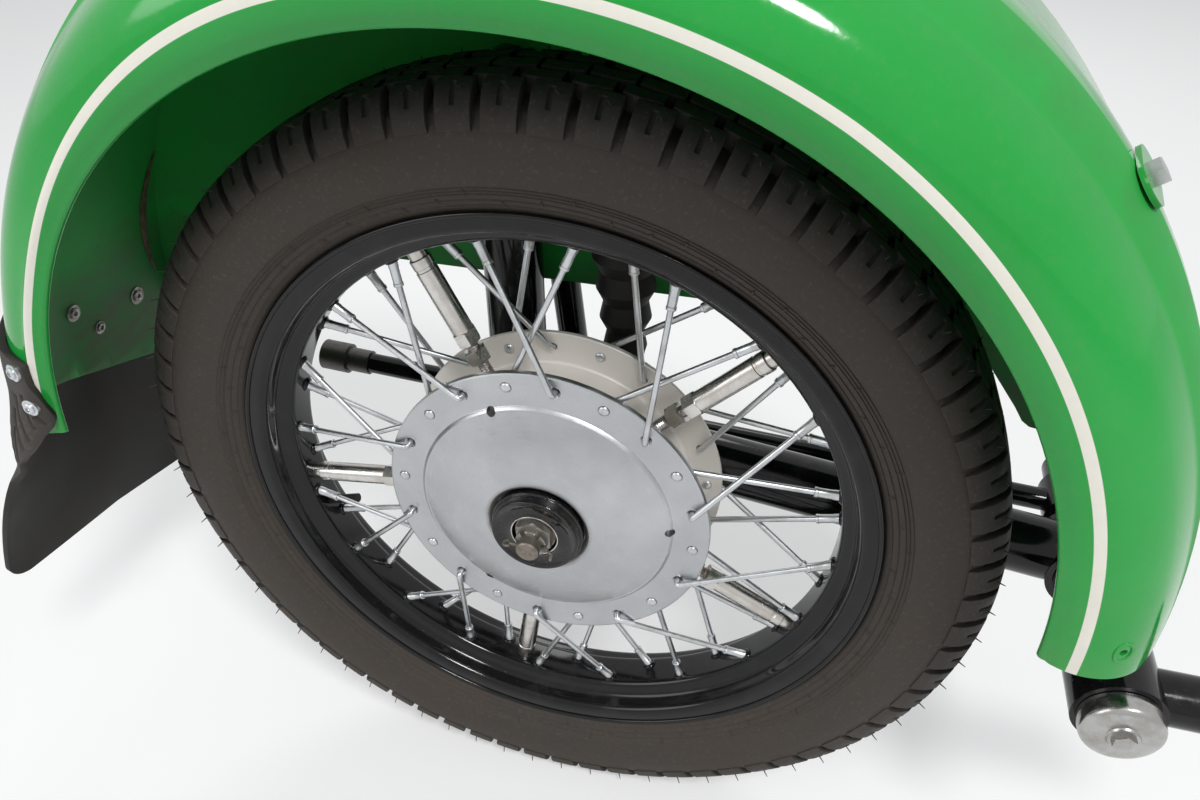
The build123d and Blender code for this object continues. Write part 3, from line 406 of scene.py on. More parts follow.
cover_black = Finish("gloss_cover", "gloss_cover", (0.004, 0.004, 0.005), 0.10, centre=HUB)
grit = cover_black.ramp(cover_black.noise(620.0, 3.0, 0.6), 0.62, 0.72, 0.0, 0.55)
haze = cover_black.ramp(cover_black.noise(70.0, 5.0, 0.6), 0.50, 0.80, 0.0, 0.16)
dust = cover_black.maths("MAXIMUM", grit, haze)
cover_black.stained(dust, (0.004, 0.004, 0.005), (0.16, 0.14, 0.11))
cover_black.feed("Roughness", cover_black.ramp(dust, 0.0, 0.3, 0.09, 0.45))
cover_black.grain(cover_black.noise(260.0, 2.0), 0.00008, 0.3)
print("black enamel ready")

# %% [markdown]
# ## Turned aluminium
#
# The hub was turned on a lathe and polished by hand. The tool leaves rings about the axle, so the
# roughness follows the radius in fine bands, with soft cloudy patches and a few darker stains.
# Behind the near flange's outer face, the hub is painted a pale warm cream, less metallic and
# rougher: this is painted light, which makes the far flange look brightly lit.

# %% Hub metal
turned = Finish("hub", "turned_aluminium", (0.50, 0.51, 0.53), 0.33, 1.0, centre=HUB)
rings = turned.maths("SINE", turned.times(turned.radius(), 9000.0))
wide_rings = turned.maths("SINE", turned.times(turned.radius(), 1300.0))
brushed = turned.noise(90.0, 5.0, 0.6)
patches = turned.ramp(turned.noise(16.0, 4.0, 0.6), 0.35, 0.75)
polished = turned.blend(patches, (0.44, 0.45, 0.47), (0.54, 0.55, 0.56))
# Painted light: behind the near flange's outer face the hub is painted pale warm cream, brighter than the
# near face.
far_face_painted_light = turned.ramp(turned.parts()[1], -0.0264, -0.0260)
alloy_and_painted_light = turned.blend(far_face_painted_light, polished, (0.80, 0.765, 0.72))
near_cover = turned.ramp(turned.radius(), 0.0440, 0.0385)
near_cover = turned.times(near_cover, turned.maths("SUBTRACT", 1.0, far_face_painted_light))
grime = turned.times(near_cover, turned.ramp(turned.noise(70.0, 4.0), 0.30, 0.60, 0.25, 0.9))
turned.feed("Base Color", turned.blend(grime, alloy_and_painted_light, (0.13, 0.11, 0.08)))
turned.feed("Metallic", turned.ramp(turned.maths("MAXIMUM", far_face_painted_light, grime), 0.0, 1.0, 1.0, 0.25))
lathe_marks = turned.maths("ADD", turned.times(rings, 0.03), turned.times(wide_rings, 0.02))
roughness = turned.maths("ADD", lathe_marks, turned.ramp(brushed, 0.3, 0.7, 0.27, 0.42))
turned.feed("Roughness", turned.maths("ADD", roughness, turned.times(far_face_painted_light, 0.18)))
turned.grain(rings, 0.00002, 0.25, turned.bump(brushed, 0.00008, 0.2))
print("hub metal ready")

# %% [markdown]
# ## Plated and bare steel
#
# Spokes, nipples and nuts are zinc plated: pale, a little blue and finely mottled. The strut
# sleeves are bare turned steel, a shade warmer and brighter. The axle end is greasy and rusted.

# %% Zinc
zinc = Finish("zinc", "zinc_plate", (0.56, 0.58, 0.60), 0.34, 1.0, centre=HUB)
mottle = zinc.noise(240.0, 5.0, 0.6)
zinc.stained(zinc.ramp(zinc.noise(45.0, 4.0), 0.45, 0.75), (0.60, 0.62, 0.64), (0.40, 0.40, 0.39))
zinc.feed("Roughness", zinc.ramp(mottle, 0.3, 0.7, 0.26, 0.46))
zinc.grain(mottle, 0.00005, 0.3)

# %% Bright sleeve steel
sleeve = Finish("sleeve", "turned_steel", (0.60, 0.575, 0.55), 0.24, 1.0, centre=HUB)
turning = sleeve.maths("SINE", sleeve.times(sleeve.radius(), 7000.0))
smears = sleeve.ramp(sleeve.noise(60.0, 5.0), 0.40, 0.75)
sleeve.stained(smears, (0.66, 0.645, 0.62), (0.50, 0.47, 0.43), roughness=(0.20, 0.36))
sleeve.grain(turning, 0.00002, 0.25)

# %% Rusted steel
rusty = Finish("rusty", "greasy_steel", (0.22, 0.19, 0.16), 0.5, 0.7, centre=HUB)
scale_patches = rusty.noise(130.0, 8.0, 0.7)
rust = rusty.ramp(scale_patches, 0.48, 0.68)
rusty.stained(rust, (0.23, 0.205, 0.175), (0.095, 0.062, 0.042), (0.85, 0.15), (0.36, 0.75))
rusty.grain(scale_patches, 0.0002, 0.5)

# %% Dusty nut steel and the brown strap
nut_steel = Finish("nut", "dusty_nut_steel", (0.25, 0.24, 0.225), 0.5, 0.7)
caked = nut_steel.ramp(nut_steel.noise(150.0, 7.0, 0.7), 0.46, 0.66)
nut_steel.stained(caked, (0.33, 0.32, 0.30), (0.13, 0.112, 0.088), (0.85, 0.15), (0.38, 0.78))
nut_steel.grain(caked, 0.0001, 0.35)

brown_strap = Finish("brown_strap", "brown_strap", (0.12, 0.085, 0.055), 0.75)
flaking = brown_strap.ramp(brown_strap.noise(120.0, 7.0, 0.7), 0.42, 0.64)
brown_strap.stained(flaking, (0.16, 0.115, 0.072), (0.045, 0.040, 0.028))
brown_strap.grain(flaking, 0.0002, 0.5)

dark_steel = Finish("dark", "dark_tube_steel", (0.085, 0.080, 0.075), 0.45, 0.75)
rusting = dark_steel.ramp(dark_steel.noise(90.0, 7.0, 0.7), 0.55, 0.72)
dark_steel.stained(rusting, (0.10, 0.096, 0.090), (0.070, 0.046, 0.032), (0.80, 0.20), (0.40, 0.75))
dark_steel.grain(rusting, 0.0001, 0.3)

# %% Stained bolt steel
bolt_steel = Finish("bolt", "bolt_steel", (0.45, 0.44, 0.42), 0.4, 1.0)
worn = bolt_steel.noise(220.0, 6.0, 0.65)
brown = bolt_steel.ramp(worn, 0.50, 0.68)
bolt_steel.stained(brown, (0.52, 0.51, 0.50), (0.20, 0.12, 0.07), (1.0, 0.35), (0.30, 0.75))
bolt_steel.grain(worn, 0.0001, 0.4)
print("metals", sorted(finishes))

# %% [markdown]
# ## Rubber
#
# The tyre is not black: its side is a warm brown grey, and it is darker round the tread.
# The flap is moulded rubber, charcoal and a little cleaner. Both get fine grain.

# %% Tyre rubber
tyre_rubber = Finish("tyre", "dusty_tyre", (0.06, 0.05, 0.043), 0.72, centre=HUB)
radius = tyre_rubber.radius()
cloud = tyre_rubber.noise(14.0, 5.0, 0.6)
fine = tyre_rubber.noise(320.0, 6.0, 0.7)
# Lighter warm brown grey on the side and darker round the tread, set by the radius alone.
side_tone = tyre_rubber.ramp(radius, 0.335, 0.310)
side_tone = tyre_rubber.times(side_tone, tyre_rubber.ramp(cloud, 0.25, 0.75, 0.35, 1.0))
shade = tyre_rubber.blend(side_tone, (0.030, 0.027, 0.025), (0.062, 0.050, 0.041))
grit = tyre_rubber.ramp(fine, 0.55, 0.75, 0.0, 0.5)
tyre_rubber.feed("Base Color", tyre_rubber.blend(grit, shade, (0.14, 0.115, 0.09)))
tyre_rubber.feed("Roughness", tyre_rubber.ramp(cloud, 0.3, 0.7, 0.55, 0.78))
tyre_rubber.grain(fine, 0.0002, 0.35)
tyre_rubber.set("Specular IOR Level", 0.30)

# %% Flap and buffer rubber
flap_rubber = Finish("rubber", "moulded_rubber", (0.03, 0.028, 0.026), 0.62, centre=HUB)
flap_rubber.set("Specular IOR Level", 0.25)
cloud = flap_rubber.noise(11.0, 5.0, 0.6)
fine = flap_rubber.noise(420.0, 5.0, 0.7)
dust = flap_rubber.ramp(cloud, 0.38, 0.75, 0.05, 0.45)
grimy = flap_rubber.blend(dust, (0.012, 0.0115, 0.011), (0.050, 0.044, 0.036))
outer_skin = flap_rubber.ramp(flap_rubber.parts()[1], -0.1255, -0.1300, 0.0, 0.8)
flap_rubber.feed("Base Color", flap_rubber.blend(outer_skin, grimy, (0.062, 0.055, 0.047)))
flap_rubber.feed("Roughness", flap_rubber.ramp(cloud, 0.3, 0.7, 0.50, 0.75))
flap_rubber.grain(fine, 0.00015, 0.35)

# %% Dusty plated cap
cap_plate = Finish("cap", "dusty_plate", (0.42, 0.42, 0.41), 0.35, 1.0)
film = cap_plate.ramp(cap_plate.noise(55.0, 6.0, 0.65), 0.40, 0.70)
cap_plate.stained(film, (0.47, 0.47, 0.46), (0.34, 0.325, 0.30), (1.0, 0.80), (0.16, 0.38))
cap_plate.grain(film, 0.0001, 0.3)
print("finishes", sorted(finishes))

# %% [markdown]
# ## How the pieces are modelled
#
# Nearly everything on a wheel is turned, so most pieces start as an outline drawn point by point
# and spun about an axle, as on a lathe. One helper draws the outline by extruding a single vertex,
# and another closes the work: doubles merged, holes filled, faces turned outwards, edges shaded by
# their angle, and the object's place moved into its mesh.

# %% Drawing and finishing a mesh
def hands_free():
    if bpy.context.object and bpy.context.object.mode != "OBJECT":
        bpy.ops.object.mode_set(mode="OBJECT")
    bpy.ops.object.select_all(action="DESELECT")


def draw(name, points):
    """Draw a line of points as a new piece, and stay in edit mode."""
    hands_free()
    bpy.ops.mesh.primitive_plane_add(size=0.001)
    piece = bpy.context.active_object
    piece.name = piece.data.name = name
    bpy.ops.object.mode_set(mode="EDIT")
    bpy.ops.mesh.select_mode(type="VERT")
    bpy.ops.mesh.merge(type="CENTER")
    bpy.ops.transform.translate(value=points[0])
    for before, after in zip(points, points[1:]):
        bpy.ops.mesh.extrude_vertices_move(TRANSFORM_OT_translate={"value": after - before})
    bpy.ops.mesh.select_all(action="SELECT")
    return piece


def close_outline():
    """Join the ends of the outline that was drawn last."""
    mesh = bpy.context.edit_object.data
    bpy.ops.mesh.select_all(action="DESELECT")
    bpy.ops.object.mode_set(mode="OBJECT")
    mesh.vertices[0].select = True
    mesh.vertices[len(mesh.vertices) - 1].select = True
    bpy.ops.object.mode_set(mode="EDIT")
    bpy.ops.mesh.edge_face_add()
    bpy.ops.mesh.select_all(action="SELECT")


def held(piece):
    """Hold one piece alone, selected and active."""
    hands_free()
    piece.select_set(True)
    bpy.context.view_layer.objects.active = piece


def set_in_place(piece):
    """Move a piece's place, turn and scale into its mesh."""
    held(piece)
    bpy.ops.object.transform_apply(location=True, rotation=True, scale=True)


def shade_edges(piece, angle):
    """Shade smooth, but for edges that are sharper than an angle."""
    held(piece)
    bpy.ops.object.shade_smooth_by_angle(angle=radians(angle))


def aimed(piece, start, direction):
    """Stand a piece that was modelled upright on a point, facing a direction."""
    piece.rotation_euler = Vector(direction).to_track_quat("Z", "Y").to_euler()
    piece.location = start
    set_in_place(piece)


DOUBLES_WITHIN = 0.000004


def finish_mesh(piece, angle=35.0):
    """Close, turn outwards, shade, and leave the piece with its place in its mesh."""
    bpy.ops.object.mode_set(mode="EDIT")
    bpy.ops.mesh.select_all(action="SELECT")
    bpy.ops.mesh.remove_doubles(threshold=DOUBLES_WITHIN)
    bpy.ops.mesh.fill_holes(sides=0)
    bpy.ops.mesh.normals_make_consistent(inside=False)
    set_in_place(piece)
    shade_edges(piece, angle)


print("drawing helpers ready")

# %% [markdown]
# ## Spun and plain solids
#
# A turned piece is spun about a crosswise axis where it belongs. A nut, a spoke's head or a sleeve
# is spun upright at the origin and stood on its place later. Plain rods and cones serve as drills.
# Round stretches of an outline are arcs through three places.

# %% Spinning, rods and arcs
def turned_piece(name, profile, steps, centre=HUB, start=0.0, sweep=360.0, angle=35.0):
    """Spin a closed profile of (radius, outboard) points about a crosswise axis."""
    piece = draw(name, [on_circle(r, start, o, centre) for r, o in profile])
    close_outline()
    bpy.ops.mesh.spin(steps=steps, angle=radians(sweep), center=centre, axis=-OUTBOARD)
    finish_mesh(piece, angle)
    return piece


def upright(name, profile, sides, angle=35.0):
    """Spin a closed (radius, height) outline about the Z axis at the origin."""
    piece = draw(name, [Vector((r, 0, h)) for r, h in profile])
    close_outline()
    bpy.ops.mesh.spin(steps=sides, angle=tau, center=(0, 0, 0), axis=(0, 0, 1))
    finish_mesh(piece, angle)
    return piece


def rod(sides, radius, depth, middle=0.0):
    """A plain cylinder, upright at the origin or with its middle above it."""
    hands_free()
    bpy.ops.mesh.primitive_cylinder_add(
        vertices=sides, radius=radius, depth=depth, location=(0, 0, middle)
    )
    return bpy.context.active_object


def cone(sides, foot, top, depth):
    hands_free()
    bpy.ops.mesh.primitive_cone_add(vertices=sides, radius1=foot, radius2=top, depth=depth)
    return bpy.context.active_object


def three_point_arc(first, middle, last, count):
    """Points of the circle through three (radius, outboard) places."""
    (ax, ay), (bx, by), (cx, cy) = first, middle, last
    cross = 2 * (ax * (by - cy) + bx * (cy - ay) + cx * (ay - by))
    squares = [x * x + y * y for x, y in (first, middle, last)]
    ox = (squares[0] * (by - cy) + squares[1] * (cy - ay) + squares[2] * (ay - by)) / cross
    oy = (squares[0] * (cx - bx) + squares[1] * (ax - cx) + squares[2] * (bx - ax)) / cross
    size = ((ax - ox) ** 2 + (ay - oy) ** 2) ** 0.5
    begin, end = atan2(ay - oy, ax - ox), atan2(cy - oy, cx - ox)
    if end - begin > pi:
        end -= tau
    if begin - end > pi:
        end += tau
    turns = [begin + (end - begin) * step / count for step in range(count + 1)]
    return [(ox + size * cos(turn), oy + size * sin(turn)) for turn in turns]


def round_wire(middle, radius, steps):
    """The outline of a round wire that is spun: a closed ring of (radius, outboard) points."""
    turns = [tau * step / steps for step in range(steps)]
    return [(middle[0] + radius * cos(turn), middle[1] + radius * sin(turn)) for turn in turns]


print("solids ready")

# %% [markdown]
# ## Cutting, picking and joining
#
# Boolean cuts throw their tool away. Faces are picked by where their middle lies. A finished piece
# gets its coat and its body, and the solids that it stands for are hidden.

# %% Cutting, picking and joining
def settle(piece, modifier):
    """Apply a modifier."""
    bpy.context.view_layer.objects.active = piece
    bpy.ops.object.modifier_apply(modifier=modifier.name)


def cut_by(piece, tool, operation="DIFFERENCE", solver="EXACT", use_self=False):
    """Cut a piece by another, which is thrown away."""
    cut = piece.modifiers.new("cut", "BOOLEAN")
    cut.operation = operation
    cut.solver = solver
    if use_self:
        cut.use_self = True
    cut.object = tool
    bpy.context.view_layer.update()
    settle(piece, cut)
    bpy.data.objects.remove(tool)


def pick_faces(piece, test):
    """Select faces in edit mode by a test of their middle."""
    bpy.ops.object.mode_set(mode="EDIT")
    bpy.ops.mesh.select_all(action="DESELECT")
    bpy.ops.mesh.select_mode(type="FACE")
    bpy.ops.object.mode_set(mode="OBJECT")
    for face in piece.data.polygons:
        face.select = bool(test(face.center))
    bpy.ops.object.mode_set(mode="EDIT")


def join_up(pieces, name):
    """Make one piece of several."""
    hands_free()
    for piece in pieces:
        piece.select_set(True)
    bpy.context.view_layer.objects.active = pieces[0]
    bpy.ops.object.join()
    joined = bpy.context.active_object
    joined.name = joined.data.name = name
    return joined


def hand_over(piece, body, finish, slot, *stands_for):
    """Coat a piece, let it ride on its body, and hide the solids that it stands for."""
    coat(piece, finish)
    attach(piece, body)
    if stands_for:
        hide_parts(*stands_for)
    print(piece.name, len(piece.data.polygons), "faces")


print("modelling helpers ready")

# %% [markdown]
# ## The guard's shell
#
# The guard is one deep pressing: a crown, a rounded shoulder and a side that tucks in again to a
# rolled lip. Most of it has the same section all round, so it is spun like a wheel, by just over
# half a turn, with far finer steps than the solid has, because gloss paint shows every facet. The
# rear end is then cut on the slant.

# %% Guard section
SHEET = 0.002
BEAD_RADIUS = 0.004
BEAD_AT = (0.3472, 0.1194)
LIP_OUTBOARD = 0.1213
CROWN_RADIUS = 0.430
CROWN_STARTS = 0.002
CROWN_WIDTH = 0.118
SHOULDER_RADIUS = 0.401


def guard_side(spread, count=16):
    """The section from lip to crown, with each place moved outwards along its own normal."""
    lip = (0.343, LIP_OUTBOARD + spread)
    bulge = (0.372, 0.1303 + spread)
    shoulder = (SHOULDER_RADIUS + 0.77 * spread, 0.1153 + 0.64 * spread)
    haunch = (0.419 + 0.93 * spread, 0.0833 + 0.37 * spread)
    crown = (CROWN_RADIUS + spread, CROWN_STARTS)
    side = three_point_arc(lip, bulge, shoulder, count)
    top = three_point_arc(shoulder, haunch, crown, count)
    flat = [(crown[0], CROWN_STARTS - CROWN_WIDTH * step / 6) for step in range(1, 7)]
    return side + top[1:] + flat


def around_bead(point):
    return atan2(point[1] - BEAD_AT[1], point[0] - BEAD_AT[0])


def past_bead(points):
    """The points of a section that lie beyond the rolled lip."""
    return [
        (r, o) for r, o in points
        if r > BEAD_AT[0] and (r - BEAD_AT[0]) ** 2 + (o - BEAD_AT[1]) ** 2 > BEAD_RADIUS ** 2
    ]


outside = past_bead(guard_side(0))
inside = past_bead(guard_side(-SHEET))
leaves, returns = around_bead(outside[0]) - tau, around_bead(inside[0])
bead = []
BEAD_STEPS = 14
for step in range(1, BEAD_STEPS):
    turn = returns + (leaves - returns) * step / BEAD_STEPS
    bead.append((BEAD_AT[0] + BEAD_RADIUS * cos(turn), BEAD_AT[1] + BEAD_RADIUS * sin(turn)))
guard_section = outside + inside[::-1] + bead
print("guard section of", len(guard_section), "points")

# %% Spin and cut the guard
FRONT_END = 0.6
REAR_END = 186.0
REAR_PART = 0.2
REAR_LIP_UP = 0.079
REAR_SLOPE = 0.342
guard_shell = turned_piece(
    "guard_shell", guard_section, 124, GUARD_CENTRE, FRONT_END, REAR_END - FRONT_END, 30.0
)
pick_faces(guard_shell, lambda middle: middle.x < HUB.x - REAR_PART)
bpy.ops.mesh.bisect(
    plane_co=place(-CROWN_RADIUS, LIP_OUTBOARD, REAR_LIP_UP),
    plane_no=Vector((0, REAR_SLOPE, 1)).normalized(),
    clear_inner=True,
    use_fill=True,
)
bpy.ops.object.mode_set(mode="OBJECT")
print("guard cut", REAR_LIP_UP * 1000, "mm above the axle at its lip")

# %% [markdown]
# ## The narrow haunch
#
# From the top towards the rear the guard grows narrower above its bulge, and widens again just
# before its end. A Hook does that: an empty at the guard's centre is scaled down a little and
# shifted inboard, and the vertices follow it as far as their weight says. The weight grows along
# the arc, with the radius and towards the outside, each by an eased step.

# %% Pull the haunch in
HAUNCH_PULL = 0.042
HAUNCH_SHIFT = 0.004
HAUNCH_ARC = (100.0, 160.0)
HAUNCH_ENDS = (169.0, 182.0)
HAUNCH_RADII = (0.348, 0.376)
HAUNCH_WIDTHS = (0.0, 0.100)


def eased(value, low, high):
    share = min(1.0, max(0.0, (value - low) / (high - low)))
    return share * share * (3 - 2 * share)


def haunch_share(radius, outboard, angle):
    """How much a point of the section belongs to the narrow rear haunch, 0 to 1."""
    along = eased(angle, *HAUNCH_ARC) * (1 - eased(angle, *HAUNCH_ENDS))
    return along * eased(radius, *HAUNCH_RADII) * eased(outboard, *HAUNCH_WIDTHS)


def pulled(point, angle):
    """Where the haunch brings a (radius, outboard) point of the section."""
    share = haunch_share(*point, angle)
    return point[0] * (1 - HAUNCH_PULL * share), point[1] - HAUNCH_SHIFT * share


haunch = guard_shell.vertex_groups.new(name="haunch")
for vertex in guard_shell.data.vertices:
    arm = vertex.co - GUARD_CENTRE
    angle = degrees(atan2(arm.z, arm.x)) % 360
    share = haunch_share(Vector((arm.x, arm.z)).length, -arm.y, angle if angle < 350 else 0)
    haunch.add([vertex.index], share, "REPLACE")
puller = bpy.data.objects.new("haunch_puller", None)
bpy.context.collection.objects.link(puller)
puller.location = GUARD_CENTRE - OUTBOARD * HAUNCH_SHIFT
puller.scale = (1 - HAUNCH_PULL, 1, 1 - HAUNCH_PULL)
bpy.context.view_layer.update()
hook = guard_shell.modifiers.new("pull", "HOOK")
hook.object = puller
hook.vertex_group = haunch.name
hook.matrix_inverse = Matrix.Translation(-GUARD_CENTRE)
settle(guard_shell, hook)
bpy.data.objects.remove(puller)
print("haunch pulled in by", round(SHOULDER_RADIUS * HAUNCH_PULL * 1000, 1), "mm at the rear")

# %% [markdown]
# ## The hole at the front
#
# One small hole near the front end is bored square to the sheet, and a shallow ring is pressed
# round it, which is a flattened torus.

# %% Bore the hole and press its ring
FRONT_HOLE = place(0.3831, 0.1275, 0.0716)
HOLE_FACES = Vector((0.34, -0.94, 0.03))
HOLE_RADIUS = 0.0024
drill = rod(24, HOLE_RADIUS, 0.02)
aimed(drill, FRONT_HOLE, HOLE_FACES)
cut_by(guard_shell, drill)
hand_over(guard_shell, "chassis", "green", "green_paint", "mudguard")
hands_free()
bpy.ops.mesh.primitive_torus_add(
    major_radius=0.0066, minor_radius=0.0013, major_segments=40, minor_segments=10
)
pressed_ring = bpy.context.active_object
pressed_ring.name = pressed_ring.data.name = "pressed_ring"
pressed_ring.scale = (0.78, 1.15, 0.55)
aimed(pressed_ring, FRONT_HOLE, HOLE_FACES)
bpy.ops.object.shade_smooth()
hand_over(pressed_ring, "chassis", "green", "green_paint")

# %% [markdown]
# ## The tyre's carcass
#
# The tyre's side is a smooth bulge from the rim's lip to its widest place and on to the shoulder.
# Near the bead it carries five fine rings, left by the mould. The whole section is drawn as one
# closed outline, with each ring as a tiny ridge, and spun. The tread stands on it as its own
# blocks, so the outline stays below them by the depth of the grooves.

# %% Tyre section
RING_RADII = (0.2620, 0.2665, 0.2710, 0.2735, 0.2762)
RING_RISE = 0.0006
RING_HALF = 0.0005
FLANK_STEP = 0.0040


SIDE_LINE = (
    (0.2578, 0.0345), (0.262, 0.0379), (0.268, 0.0412), (0.275, 0.0443), (0.283, 0.0470),
    (0.291, 0.0488), (0.2985, 0.0495), (0.306, 0.0492), (0.3135, 0.0478),
)


def side_of_tyre(radius):
    """How far outboard the smooth side lies at a radius."""
    for low, high in zip(SIDE_LINE, SIDE_LINE[1:]):
        if radius <= high[0]:
            share = (radius - low[0]) / (high[0] - low[0])
            return low[1] + (high[1] - low[1]) * share
    return SIDE_LINE[-1][1]


flank = [(0.2428, 0.020), (0.2428, 0.0269), (0.2488, 0.0326), (0.2572, 0.0328)]
radius = SIDE_LINE[0][0]
while radius < 0.3136:
    near = [ring for ring in RING_RADII if abs(ring - radius) < 0.0001]
    if near:
        flank += [
            (radius - RING_HALF, side_of_tyre(radius)),
            (radius, side_of_tyre(radius) + RING_RISE),
            (radius + RING_HALF, side_of_tyre(radius)),
        ]
    else:
        flank.append((radius, side_of_tyre(radius)))
    rings_left = [ring for ring in RING_RADII if ring > radius + 0.0002]
    radius = min([radius + FLANK_STEP] + rings_left)
flank += [(0.3160, 0.0455), (0.3215, 0.0425), (0.3255, 0.0370), (0.3285, 0.0280), (0.3310, 0.0150)]
crown_of_tyre = [(0.3320, 0.0)]
far_flank = [(r, -o) for r, o in flank[::-1]]
inner_wall = [(0.300, -0.0435), (0.320, -0.033), (0.320, 0.033), (0.300, 0.0435)]
tyre_section = flank + crown_of_tyre + far_flank + inner_wall
tyre_carcass = turned_piece("tyre_carcass", tyre_section, 160)
hand_over(tyre_carcass, "wheel", "tyre", "tyre", "tyre")

# %% [markdown]
# ## Tread
#
# The tread repeats seventy times round the tyre. One of each block is modelled: a small outline
# lying against the carcass is spun through a few degrees, so that it curves with the tyre, and its
# edges are bevelled. Shoulder blocks wrap down over the side and taper, so that the grooves between
# them are wedges. An Array modifier that follows a turned empty then copies the block all round.

# %% One block, and a ring of them
PITCHES = 70
PITCH = 360.0 / PITCHES


def turn_about_axle(angle):
    """Turn what is selected about the axle, from forward towards up."""
    bpy.ops.transform.rotate(value=radians(angle), orient_axis="Y", center_override=HUB)


def block(name, profile, start, sweeps, skew=0.0):
    """A piece of tread: a profile turned through a few steps, moved sideways and back as it goes."""
    piece = draw(name, [on_circle(r, start, o) for r, o in profile])
    close_outline()
    for step, sweep in enumerate(sweeps):
        sideways = skew if step < len(sweeps) / 2 else -skew
        bpy.ops.mesh.extrude_edges_move(TRANSFORM_OT_translate={"value": OUTBOARD * sideways})
        turn_about_axle(sweep)
    finish_mesh(piece, 25.0)
    return piece


def soften(piece, width, segments=1):
    rounding = piece.modifiers.new("rounding", "BEVEL")
    rounding.width = width
    rounding.segments = segments
    rounding.limit_method = "ANGLE"
    rounding.angle_limit = radians(40)
    settle(piece, rounding)


def ring_of(piece, count):
    """Copy a piece round the axle with an Array that follows a turned empty."""
    turn = radians(360.0 / count)
    follow = bpy.data.objects.new("ring_step", None)
    bpy.context.collection.objects.link(follow)
    follow.matrix_world = (
        Matrix.Translation(HUB) @ Matrix.Rotation(turn, 4, "Y") @ Matrix.Translation(-HUB)
    )
    copies = piece.modifiers.new("ring", "ARRAY")
    copies.count = count
    copies.use_relative_offset = False
    copies.use_object_offset = True
    copies.offset_object = follow
    bpy.context.view_layer.update()
    settle(piece, copies)
    bpy.data.objects.remove(follow)


print("tread repeats every", round(PITCH, 2), "degrees")

# %% [markdown]
# ## Blocks of the tread
#
# Every pitch has a shoulder block on each side, a middle block on each side and a length of zigzag
# rib. A narrow step in the middle of a shoulder block is pushed in to make its notch, and the
# block's foot is spread, because the grooves close towards the side.

# %% Model the tread
def axle_radius(point):
    return ((point.x - HUB.x) ** 2 + (point.z - HUB.z) ** 2) ** 0.5


def axle_angle(point):
    return degrees(atan2(point.z - HUB.z, point.x - HUB.x))


def mirrored(profile, side):
    return [(r, side * o) for r, o in profile]


SHOULDER = (
    (0.3290, 0.0285), (0.3388, 0.0280), (0.3374, 0.0335), (0.3345, 0.0385), (0.3270, 0.0440),
    (0.3190, 0.0478), (0.3125, 0.0490), (0.3122, 0.0465), (0.3200, 0.0420), (0.3250, 0.0350),
)
MIDDLE = ((0.3305, 0.0125), (0.3397, 0.0120), (0.3391, 0.0245), (0.3285, 0.0248))
RIB = ((0.3310, -0.0075), (0.3400, -0.0070), (0.3400, 0.0070), (0.3310, 0.0075))
EDGE_ROUND = 0.0004
NOTCH_DEPTH = 0.0016
TOP = 90.0
MIDDLE_LEADS = 1.6
RIB_GAP = 0.2


def in_notch(middle):
    """True in the narrow step that is to be the notch of the shoulder block made last."""
    return (
        1.8 < abs(axle_angle(middle) - first) < 2.25
        and axle_radius(middle) > 0.329
        and abs(middle.y - HUB.y) > 0.0335
    )


rings = []
for side in (1, -1):
    first = TOP if side > 0 else TOP + PITCH / 2
    shoulder = block(f"shoulder_{side}", mirrored(SHOULDER, side), first, (1.75, 0.55, 1.75))
    pick_faces(shoulder, in_notch)
    bpy.ops.mesh.extrude_region_shrink_fatten(TRANSFORM_OT_shrink_fatten={"value": -NOTCH_DEPTH})
    bpy.ops.object.mode_set(mode="OBJECT")
    start = first + MIDDLE_LEADS
    middle = block(f"middle_{side}", mirrored(MIDDLE, side), start, (2.1, 2.1), 0.0022)
    rings += [shoulder, middle]
half_rib = PITCH / 2 - RIB_GAP
rings.append(block("rib", RIB, TOP, (half_rib, half_rib), 0.0028))
for piece in rings:
    soften(piece, EDGE_ROUND)
    ring_of(piece, PITCHES)
hand_over(join_up(rings, "tyre_tread"), "wheel", "tyre", "tyre")

# %% [markdown]
# ## Marks of the mould
#
# Short ridges cross the rings near the bead where the mould let air out, and a few fine rubber
# hairs stand on the shoulders. Both are tiny, but they are what tells a real tyre from a model.

# %% Ticks and hairs
TICKS = ((0.2600, 0.2660, 3.0), (0.2690, 0.2750, 8.0), (0.2640, 0.2690, 12.5))
TICK_RISE = 0.0009
TICK_SLANT = 0.0005
TICKS_ROUND = 24
marks = []
for number, (low, high, angle) in enumerate(TICKS):
    top = [
        (low + TICK_SLANT, side_of_tyre(low) + TICK_RISE),
        (high - TICK_SLANT, side_of_tyre(high) + TICK_RISE),
    ]
    foot = [(r, side_of_tyre(r) - TICK_RISE) for r in (high, low)]
    tick = block(f"tick_{number}", top + foot, angle, (0.22,))
    ring_of(tick, TICKS_ROUND)
    marks.append(tick)
for side in (1, -1):
    root = on_circle(0.3345, 91.1, side * 0.0380)
    tip = on_circle(0.3386, 91.4, side * 0.0424)
    hair = cone(5, 0.0006, 0.0003, (tip - root).length)
    aimed(hair, (root + tip) / 2, tip - root)
    ring_of(hair, PITCHES)
    marks.append(hair)
hand_over(join_up(marks, "tyre_mould_marks"), "wheel", "tyre", "tyre")

# %% [markdown]
# ## Rim
#
# The rim is rolled from steel strip: a round lip, a bead seat that slopes gently, and a deep well.
# All its bends have a radius, which is what gives black paint its long bright lines, so the outline
# carries short arcs where the solid has corners. Each nipple sits in a punched dimple, a low cone
# that leans with its spoke.

# %% Rim band
MOST_OF_ARM = 0.45


